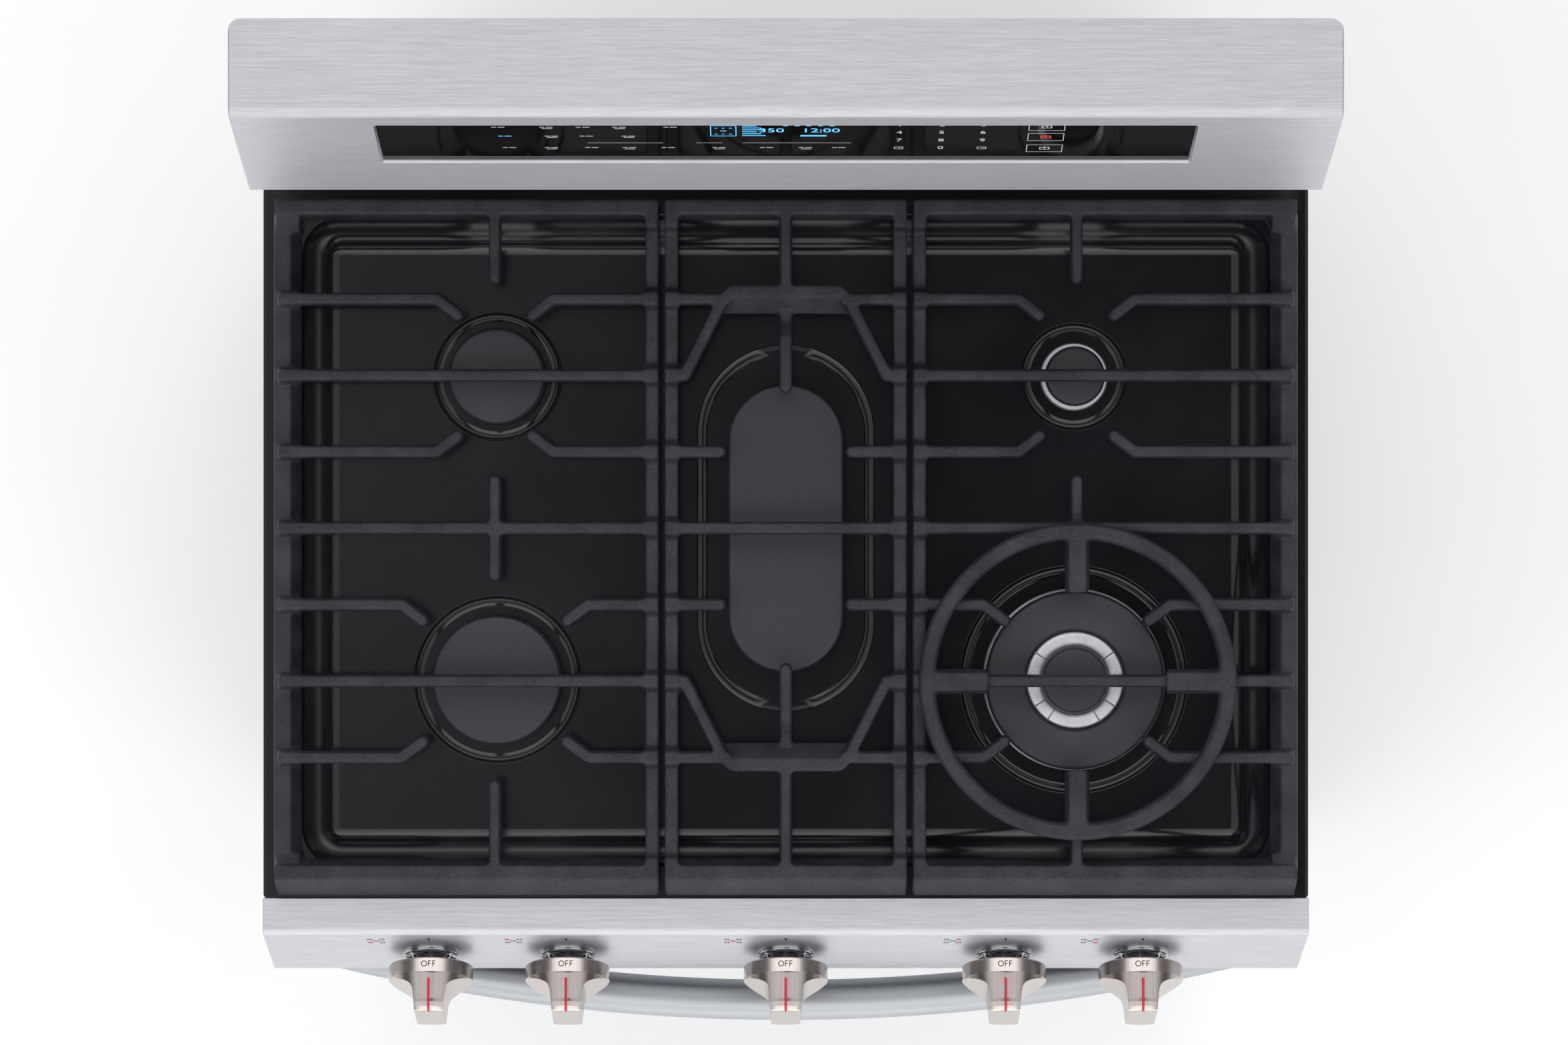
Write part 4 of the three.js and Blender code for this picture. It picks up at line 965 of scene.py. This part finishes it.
# Ground tube: fine 0.7 mm grit crossed by faint lines along its length.
grit = noise(tree, place, 0.667)
long = drawn(tree, place, (125, 2, 2))
lines = noise(tree, long, 1000, 3)
both = blended(tree, 0.5, grit, lines)
tone = two_tone(tree, both, "a4a6aa", "c4c7cb")
rough = stretch(tree, both, 0.42, 0.54)
wave = bumps(tree, both, 0.2, 0.1)
coat(tree, skin, Base_Color=tone, Roughness=rough, Normal=wave, Metallic=1.0)
dress(tube, satin_tube, "door", "stainless", "door_handle")
for name, side in (("left", -1), ("right", 1)):
    mount = block("handle_mount_" + name, *sorted((332 * side, 370 * side)), -318, -283.9, 780.5, 819.5)
    rounded(mount, lambda p, n: abs(n.y) > 0.9 and p.x * side > 350, 14, 10)
    rounded(mount, lambda p, n: abs(n.y) > 0.9 and p.x * side < 340, 4, 5)
    rounded(mount, lambda p, n: p.y < -317.9, 1.6, 4)
    smooth(mount, 40)
    dress(mount, satin_tube, "door", "stainless", "handle_mount_" + name)

# ---------------------------------------------------------------- backguard
# A brushed stainless hood over the rear: flat top, long bend and a leaning face
# whose window frames the black touch panel.
FACE_LEAN = 0.2515
hood_steel = brushed("brushed_stainless_hood", 0.45, 0.52)
SECTION = [(355.5, 1197), (289.5, 1197), (247.5, 1033.6), (249.5, 1030), (355.5, 1030)]
hood = extruded("backguard_shell", [(-379.5, y, z) for y, z in SECTION], (759, 0, 0))
rounded_bends(hood, [(289.5, 1197, 7), (247.5, 1033.6, 2.5)])
rounded(hood, lambda p, n: abs(p.x) > 379.4 and p.z > 1040 and abs(n.z) > 0.9 and p.y > 350, 9, 8)
rounded(hood, lambda p, n: abs(p.x) > 379.4 and p.z < 1031 and abs(n.y) > 0.9, 12, 10)
rounded(hood, lambda p, n: abs(p.x) > 379.4 and p.y < 352 and (p.z > 1040 or abs(n.y) < 0.9), 1.2, 3)
at_face = leaning(0, 289.5, 1197, FACE_LEAN)
bay = block("window_bay", -280.5, 280.5, -104, -24, -12, -1.4)
rounded(bay, lambda p, n: abs(n.z) > 0.9, 2.5, 4)
choose(bay, "FACE", lambda p, n: n.z > 0.9)
bpy.ops.mesh.extrude_region_move(TRANSFORM_OT_translate={"value": (0, 0, 0.0014)})
bpy.ops.transform.resize(value=(564 / 561, 83.4 / 80, 1))
bpy.ops.mesh.extrude_region_move(TRANSFORM_OT_translate={"value": (0, 0, 0.005)})
bpy.ops.object.mode_set(mode="OBJECT")
bay.data.transform(at_face)
cut(hood, bay)
smooth(hood, 30)
finish(hood, "WEIGHTED_NORMAL", keep_sharp=True)
dress(hood, hood_steel, "range_body", "stainless", "backguard_shell")

black_glass, tree, skin, place = new_material("black_glass")
# Black-backed toughened glass with faint finger marks.
smear = noise(tree, place, 142.9, 5)
rough = stretch(tree, smear, 0.04, 0.11, 0.4, 0.8)
tone = two_tone(tree, smear, "070607", "0d0c0d")
coat(tree, skin, Base_Color=tone, Roughness=rough, Specular_IOR_Level=0.25)
glass = block("control_glass", -280.2, 280.2, -103.7, -24.3, -6.4, -2.5)
rounded(glass, lambda p, n: p.z > -2.6, 0.4, 2)
glass.data.transform(at_face)
dress(glass, black_glass, "range_body", "black_glass", "control_glass")

# Printed legends: white keys and figures, a cyan clock and oven picture, one red key.
INK_Z = (-2.48, -2.44)
LEGEND = {"white": ("legend_white", "b9bcbf", 0.25), "cyan": ("legend_cyan", "58b4e8", 0.9),
          "red": ("legend_red", "e0452c", 0.6)}
prints = {}
for tint, (name, code, glow) in LEGEND.items():
    material, tree, skin, place = new_material(name)
    # Lamp-lit print behind the glass, a little uneven.
    ink = noise(tree, place, 1.429)
    level = stretch(tree, ink, glow * 0.8, glow * 1.2)
    coat(tree, skin, Emission_Strength=level, Base_Color=colour(code), Emission_Color=colour(code))
    prints[tint] = (material, [])


def stroke(tint, x0, x1, y0, y1):
    prints[tint][1].append(block("legend", x0, x1, y0, y1, *INK_Z))


def outlined(tint, x0, x1, y0, y1, wide=0.5):
    stroke(tint, x0, x1, y0, y0 + wide)
    stroke(tint, x0, x1, y1 - wide, y1)
    stroke(tint, x0, x0 + wide, y0, y1)
    stroke(tint, x1 - wide, x1, y0, y1)


def figure(tint, text, x, y, size):
    deselect()
    bpy.ops.object.text_add(location=(x / 1000, y / 1000, INK_Z[0] / 1000))
    made = bpy.context.object
    made.data.body = text
    made.data.size = size / 1000
    made.data.align_x = "CENTER"
    made.data.align_y = "CENTER"
    made.data.extrude = 0.00002
    bpy.ops.object.convert(target="MESH")
    bpy.ops.object.transform_apply(location=True, rotation=True, scale=True)
    prints[tint][1].append(bpy.context.object)


for y, keys in ((-29, "123"), (-45, "456"), (-62, "789"), (-79, " 0 ")):
    for x, key in zip((78, 107, 135.5), keys):
        if key != " ":
            figure("white", key, x, y, 8.5)
for x in (78, 135.5):
    outlined("white", x - 3.2, x + 3.2, -81.4, -76.6)
    stroke("white", x - 0.3, x + 2, -79.2, -78.8)
for y, tint in ((-33, "white"), (-55, "red"), (-80, "white")):
    outlined("white", 166.5, 191.5, y - 8, y + 8)
    outlined(tint, 175.5, 182.5, y - 2.6, y + 2.6, 0.7)
    stroke(tint, 178.7, 179.3, y - 1, y + 4.2)
KEY_ROWS = {
    -33.5: (-196, -163, -138, -113, -78),
    -53: (-192, -160, -136, -107),
    -78.5: (-190, -161, -133, -107, -80, -45, -12, 15, 38),
}
for row, xs in KEY_ROWS.items():
    for k, x in enumerate(xs):
        tint = "cyan" if row == -53 and k == 0 else "white"
        stroke(tint, x - 6, x - 2.6, row - 0.5, row + 0.5)
        stroke(tint, x - 1.6, x + 3.2, row - 0.5, row + 0.5)
        if k % 2:
            stroke(tint, x - 4.6, x + 2.6, row - 3.4, row - 2.5)
for x0, x1 in ((-137, -85), (-62, -44), (-30, 45)):
    stroke("white", x0, x1, -68.1, -67.7)
outlined("cyan", -52, -34, -53, -30, 0.6)
for dx in (-5, 0, 5):
    stroke("cyan", -43 + dx - 1, -43 + dx + 1, -49, -48.2)
    stroke("cyan", -43 + dx - 1, -43 + dx + 1, -36, -35.2)
stroke("cyan", -45, -41, -42.4, -41.2)
for k in range(6):
    stroke("cyan", -30, -20 + 3 * (k % 3), -31.5 - 4.2 * k, -30.3 - 4.2 * k)
figure("cyan", "350", -10, -41, 12)
figure("cyan", "12:00", 24, -41, 12)
stroke("cyan", 10, 28, -53.5, -51)
for k, dx in enumerate((-2, 6, 14, 22, 30)):
    stroke("cyan", dx, dx + 3.4, -31, -29.6)
for tint, (material, strokes) in prints.items():
    legend = joined("legend_" + tint, strokes)
    legend.data.transform(at_face)
    dress(legend, material, "range_body", "paint")

# ---------------------------------------------------------------- body
# Under the cooktop: a galvanised base on four levelling legs, painted side
# sheets, a louvred rear sheet and the steel riser that carries the backguard.
galvanised, tree, skin, place = new_material("galvanised_sheet")
# Hot-dip zinc: 8 mm spangles in two greys, each a little duller or brighter.
spangle = add(tree, "TexVoronoi", {"Vector": place, "Scale": 120.0})
tone = two_tone(tree, spangle.outputs["Color"], "8f9498", "b4b8bb")
rough = stretch(tree, spangle.outputs["Color"], 0.34, 0.52)
coat(tree, skin, Base_Color=tone, Roughness=rough, Metallic=1.0)

side_paint, tree, skin, place = new_material("textured_black_paint")
# Baked powder coat with a 1 mm pebble.
pebble = noise(tree, place, 1.111)
cloud = noise(tree, place, 250, 3)
tone = two_tone(tree, cloud, "232427", "303135")
rough = stretch(tree, pebble, 0.38, 0.55)
wave = bumps(tree, pebble, 0.25, 0.2)
coat(tree, skin, Base_Color=tone, Roughness=rough, Normal=wave)


def repaint(material, *nodes):
    """Gives CAD nodes that keep their own shape a finished surface."""
    for node in nodes:
        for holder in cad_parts[node].material_slots:
            holder.material = material


repaint(galvanised, "base_frame", "drawer_box", "door_hinge_left", "door_hinge_right")
repaint(side_paint, "side_panel_left", "side_panel_right")
repaint(brushed_steel, "backguard_riser")

LEGS = {"left_front": (-340, -200), "right_front": (340, -200), "left_rear": (-340, 270),
        "right_rear": (340, 270)}
THREAD = [(6.9 if k % 2 else 6.1, 9.4 + k * 0.9) for k in range(50)]
leg = spun("leg", [(0, 0), (19.4, 0), (20, 0.6), (20, 4.2), (18.6, 5.4), (8.4, 9),
                   (6.1, 9.2)] + THREAD + [(6.4, 57.2), (0, 57.2)], 0, 0, 40)
smooth(leg, 50)
for name, (x, y) in LEGS.items():
    foot = copied(leg, Matrix.Translation((x / 1000, y / 1000, 0)))
    foot.name = "leg_" + name
    dress(foot, side_paint, "range_body", "paint", "leg_" + name)
bpy.data.objects.remove(leg)

# The rear sheet: pressed stiffening ribs, two rows of louvres and the gas hole.
sheet = block("rear_panel", -377, 377, 356.6, 358.4, 64, 1028)
cutters = [spun("gas_hole", [(0, -10), (20, -10), (20, 10), (0, 10)], 0, 0, 48)]
cutters[0].data.transform(Matrix.Translation((0.345, 0.358, 0.12)) @ Matrix.Rotation(math.pi / 2, 4, "X"))
slot_cutter = block("louvre_cut", -22, 22, 350, 365, 0, 6)
rounded(slot_cutter, lambda p, n: abs(n.y) > 0.9, 2.9, 5)
for k in range(-3, 4):
    for z in (760, 790):
        cutters.append(copied(slot_cutter, Matrix.Translation((k * 0.06, 0, z / 1000))))
bpy.data.objects.remove(slot_cutter)
cut(sheet, *cutters)
smooth(sheet, 30)
dress(sheet, galvanised, "range_body", "galvanised", "rear_panel")
rib = block("rear_rib", -330, 330, 357, 358.5, 0, 26)
rounded(rib, lambda p, n: abs(n.y) > 0.9, 12.9, 8)
choose(rib, "FACE", lambda p, n: n.y > 0.9)
bpy.ops.mesh.inset(thickness=0.003, depth=0)
bpy.ops.transform.translate(value=(0, -0.0008, 0))
bpy.ops.object.mode_set(mode="OBJECT")
ribs = joined("rear_ribs", [copied(rib, Matrix.Translation((0, 0, z / 1000))) for z in (240, 400, 560, 880)])
bpy.data.objects.remove(rib)
smooth(ribs, 30)
dress(ribs, galvanised, "range_body", "galvanised")

# Hex-flanged sheet-metal screws hold the rear sheet and the side sheets.
screw = spun("flange_screw", [(0, -1), (4.6, -1), (4.6, 0.0), (3.4, 0.5), (3.3, 0.6), (0, 0.6)], 0, 0, 32)
hexagon = spun("screw_hex", [(0, 0.2), (3.1, 0.2), (3.1, 3.2), (2.7, 3.6), (0, 3.6)], 0, 0, 6)
combine(screw, "UNION", hexagon)
screw.data.transform(Matrix.Diagonal((1, 1, 0.4, 1)))
to_rear = Matrix.Rotation(-math.pi / 2, 4, "X")
screws = []
for x in (-366, -180, 0, 180, 366):
    for z in (76, 1016):
        screws.append(copied(screw, Matrix.Translation((x / 1000, 0.3576, z / 1000)) @ to_rear))
for z in (330, 550, 770):
    for x in (-366, 366):
        screws.append(copied(screw, Matrix.Translation((x / 1000, 0.3576, z / 1000)) @ to_rear))
dress(joined("rear_screws", screws), galvanised, "range_body", "galvanised")
bpy.data.objects.remove(screw)

# ---------------------------------------------------------------- oven
# A folded steel box in dark speckled enamel with pressed rack ledges, gas
# burners below and above, and a fan wheel behind a slotted cover.
speckled, tree, skin, place = new_material("speckled_oven_enamel")
# Dark blue-grey porcelain with pale flecks 2 mm apart.
fleck = add(tree, "TexVoronoi", {"Vector": place, "Scale": 420.0})
spots = stretch(tree, fleck.outputs["Distance"], 1.0, 0.0, 0.16, 0.20)
peel = noise(tree, place, 3.846)
tone = two_tone(tree, spots, "25272e", "8b90a0")
rough = stretch(tree, peel, 0.16, 0.28)
wave = bumps(tree, peel, 0.08, 0.3)
coat(tree, skin, Base_Color=tone, Roughness=rough, Normal=wave)
repaint(speckled, "oven_cavity", "door_liner", "fan_cover")
repaint(galvanised, "fan_motor", "fan_blade")

tarnished, tree, skin, place = new_material("aluminised_burner_tube")
# Aluminised steel, discoloured where it has been hot.
heat = noise(tree, place, 45.5, 4)
tone = two_tone(tree, heat, "8a8783", "b7b8b8")
coat(tree, skin, Base_Color=tone, Metallic=1.0, Roughness=0.5)
repaint(tarnished, "bake_burner", "broil_burner")

bright_wire, tree, skin, place = new_material("chromed_wire")
# Chrome-plated wire.
smear = noise(tree, place, 12.5, 3)
rough = stretch(tree, smear, 0.10, 0.26)
coat(tree, skin, Roughness=rough, Base_Color=colour("c9cbce"), Metallic=1.0)


def wire(a, b, radius):
    """A straight round wire between two points."""
    made = traced("wire", [a, b])
    bpy.ops.object.mode_set(mode="OBJECT")
    return piped(made, radius, 3)


rack = []
for side in (-1, 1):
    rack.append(wire((291 * side, -200, 0), (291 * side, 252, 0), 3))
for y in (-200, 25, 252):
    rack.append(wire((-293, y, 0), (293, y, 0), 3))
rack.append(wire((-288, 252, 14), (288, 252, 14), 3))
for x in (-280, 0, 280):
    rack.append(wire((x, 252, 0), (x, 252, 14), 2.4))
for k in range(-9, 10):
    rack.append(wire((k * 29, -200, 3.6), (k * 29, 252, 3.6), 2.0 if k % 2 else 2.2))
rack = joined("oven_rack", rack)
for name, height in (("lower", 380.4), ("upper", 560.4)):
    shelf = copied(rack, Matrix.Translation((0, 0, height / 1000)))
    shelf.name = "oven_rack_" + name
    dress(shelf, bright_wire, "rack_" + name, "chrome", "oven_rack_" + name)
bpy.data.objects.remove(rack)

braid, tree, skin, place = new_material("braided_gasket")
# Glass-fibre sleeve over wire: a woven herringbone 2 mm across.
lean = drawn(tree, place, (1.923, 1.923, 1.923), (0, 0.8, 0))
weave = add(tree, "TexChecker", {"Vector": lean, "Scale": 1.0})
fuzz = noise(tree, place, 1.111)
both = blended(tree, 0.4, weave.outputs["Fac"], fuzz)
tone = two_tone(tree, both, "4c4e51", "85878a")
wave = bumps(tree, both, 0.6, 0.6)
coat(tree, skin, Base_Color=tone, Normal=wave, Roughness=0.9)
repaint(braid, "door_gasket")

# A heat-proof glass lens covers the oven lamp on the rear wall.
lens_glass, tree, skin, place = new_material("lamp_lens")
# Moulded heat-proof glass, ribbed inside.
ribbed = add(tree, "TexWave", {"Vector": place, "Scale": 60.0})
wave = bumps(tree, ribbed.outputs["Fac"], 0.3, 0.4)
coat(tree, skin, Normal=wave, Base_Color=colour("f4efe2"), Roughness=0.12, Coat_Weight=0.5)
lens = spun("oven_lamp_lens", [(0, 0), (28, 0), (28, 3), (26, 7), (22, 12), (15, 16.4), (7, 18.6), (0, 19)],
            0, 0, 56)
lens.data.transform(Matrix.Translation((0.215, 0.2998, 0.70)) @ Matrix.Rotation(math.pi / 2, 4, "X"))
smooth(lens, 40)
dress(lens, lens_glass, "range_body", "chrome")

brass, tree, skin, place = new_material("cast_brass")
# Cast brass, dull from handling.
grain = noise(tree, place, 1.429, 3)
cloud = noise(tree, place, 40, 3)
tone = two_tone(tree, cloud, "8d6c35", "bc9a58")
rough = stretch(tree, grain, 0.32, 0.5)
coat(tree, skin, Base_Color=tone, Roughness=rough, Metallic=1.0)
repaint(brass, "gas_manifold")

board_green, tree, skin, place = new_material("solder_mask")
# Green lacquer over copper tracks.
tracks = add(tree, "TexBrick", {"Vector": place, "Scale": 260.0, "Color1": colour("1c5a3a"),
                                "Color2": colour("23684a"), "Mortar": colour("3b8a5e")})
coat(tree, skin, Base_Color=tracks.outputs["Color"], Roughness=0.35)
repaint(board_green, "control_board")

# ---------------------------------------------------------------- oven door
# A folded brushed-steel skin round a black window, closed by an enamelled
# liner with its own inner pane.

def hollowed(sheet):
    """Pushes the back of a slab forward, which leaves 2 mm of folded sheet."""
    choose(sheet, "FACE", lambda p, n: n.y > 0.9)
    bpy.ops.mesh.inset(thickness=0.002, depth=0)
    bpy.ops.transform.translate(value=(0, -0.0195, 0))


skin_piece = block("door_skin", -378, 378, -283.5, -262, 268, 815)
hollowed(skin_piece)
rounded(skin_piece, lambda p, n: p.y < -283.4, 3, 6)
opening = block("window_opening", -215, 215, -300, -270, 450, 650)
rounded(opening, lambda p, n: abs(n.y) > 0.9, 6, 6)
notches = [block("lug_notch", *sorted((350 * side, 368 * side)), -281.6, -255, 260, 275) for side in (-1, 1)]
cut(skin_piece, opening, *notches)
smooth(skin_piece, 30)
finish(skin_piece, "WEIGHTED_NORMAL", keep_sharp=True)
dress(skin_piece, brushed_steel, "door", "stainless", "door_skin")

window_glass, tree, skin, place = new_material("fritted_window_glass")
# Black glass under a printed screen of dots 2.4 mm apart.
screen = add(tree, "TexVoronoi", {"Vector": place, "Scale": 420.0, "Randomness": 0.0})
dots = stretch(tree, screen.outputs["Distance"], 0.0, 1.0, 0.30, 0.36)
tone = two_tone(tree, dots, "1b1c1f", "0a0b0c")
coat(tree, skin, Base_Color=tone, Roughness=0.05)
pane = block("door_window", -228, 228, -281.1, -277.1, 437, 663)
rounded(pane, lambda p, n: True, 0.6, 2)
dress(pane, window_glass, "door", "black_glass", "door_window")
repaint(window_glass, "door_inner_glass")

# ---------------------------------------------------------------- warming drawer
# A brushed steel front with a folded finger lip along its top, on the
# galvanised box that keeps its CAD shape.
front = block("drawer_front", -378, 378, -283.5, -262, 62, 238)
hollowed(front)
rounded(front, lambda p, n: p.y < -283.4 and not (p.z > 237), 3, 6)
GRIP = [(-283.5, 237.6), (-283.2, 239), (-272.6, 249.6), (-271, 250.6), (-266, 251), (-263, 252.6),
        (-262, 254.4), (-262, 246), (-270, 245.6), (-281, 236)]
grip = extruded("drawer_lip", [(-377.4, y, z) for y, z in GRIP], (754.8, 0, 0))
lip = joined("drawer_front", [front, grip])
smooth(lip, 40)
dress(lip, brushed_steel, "drawer", "stainless", "drawer_front")
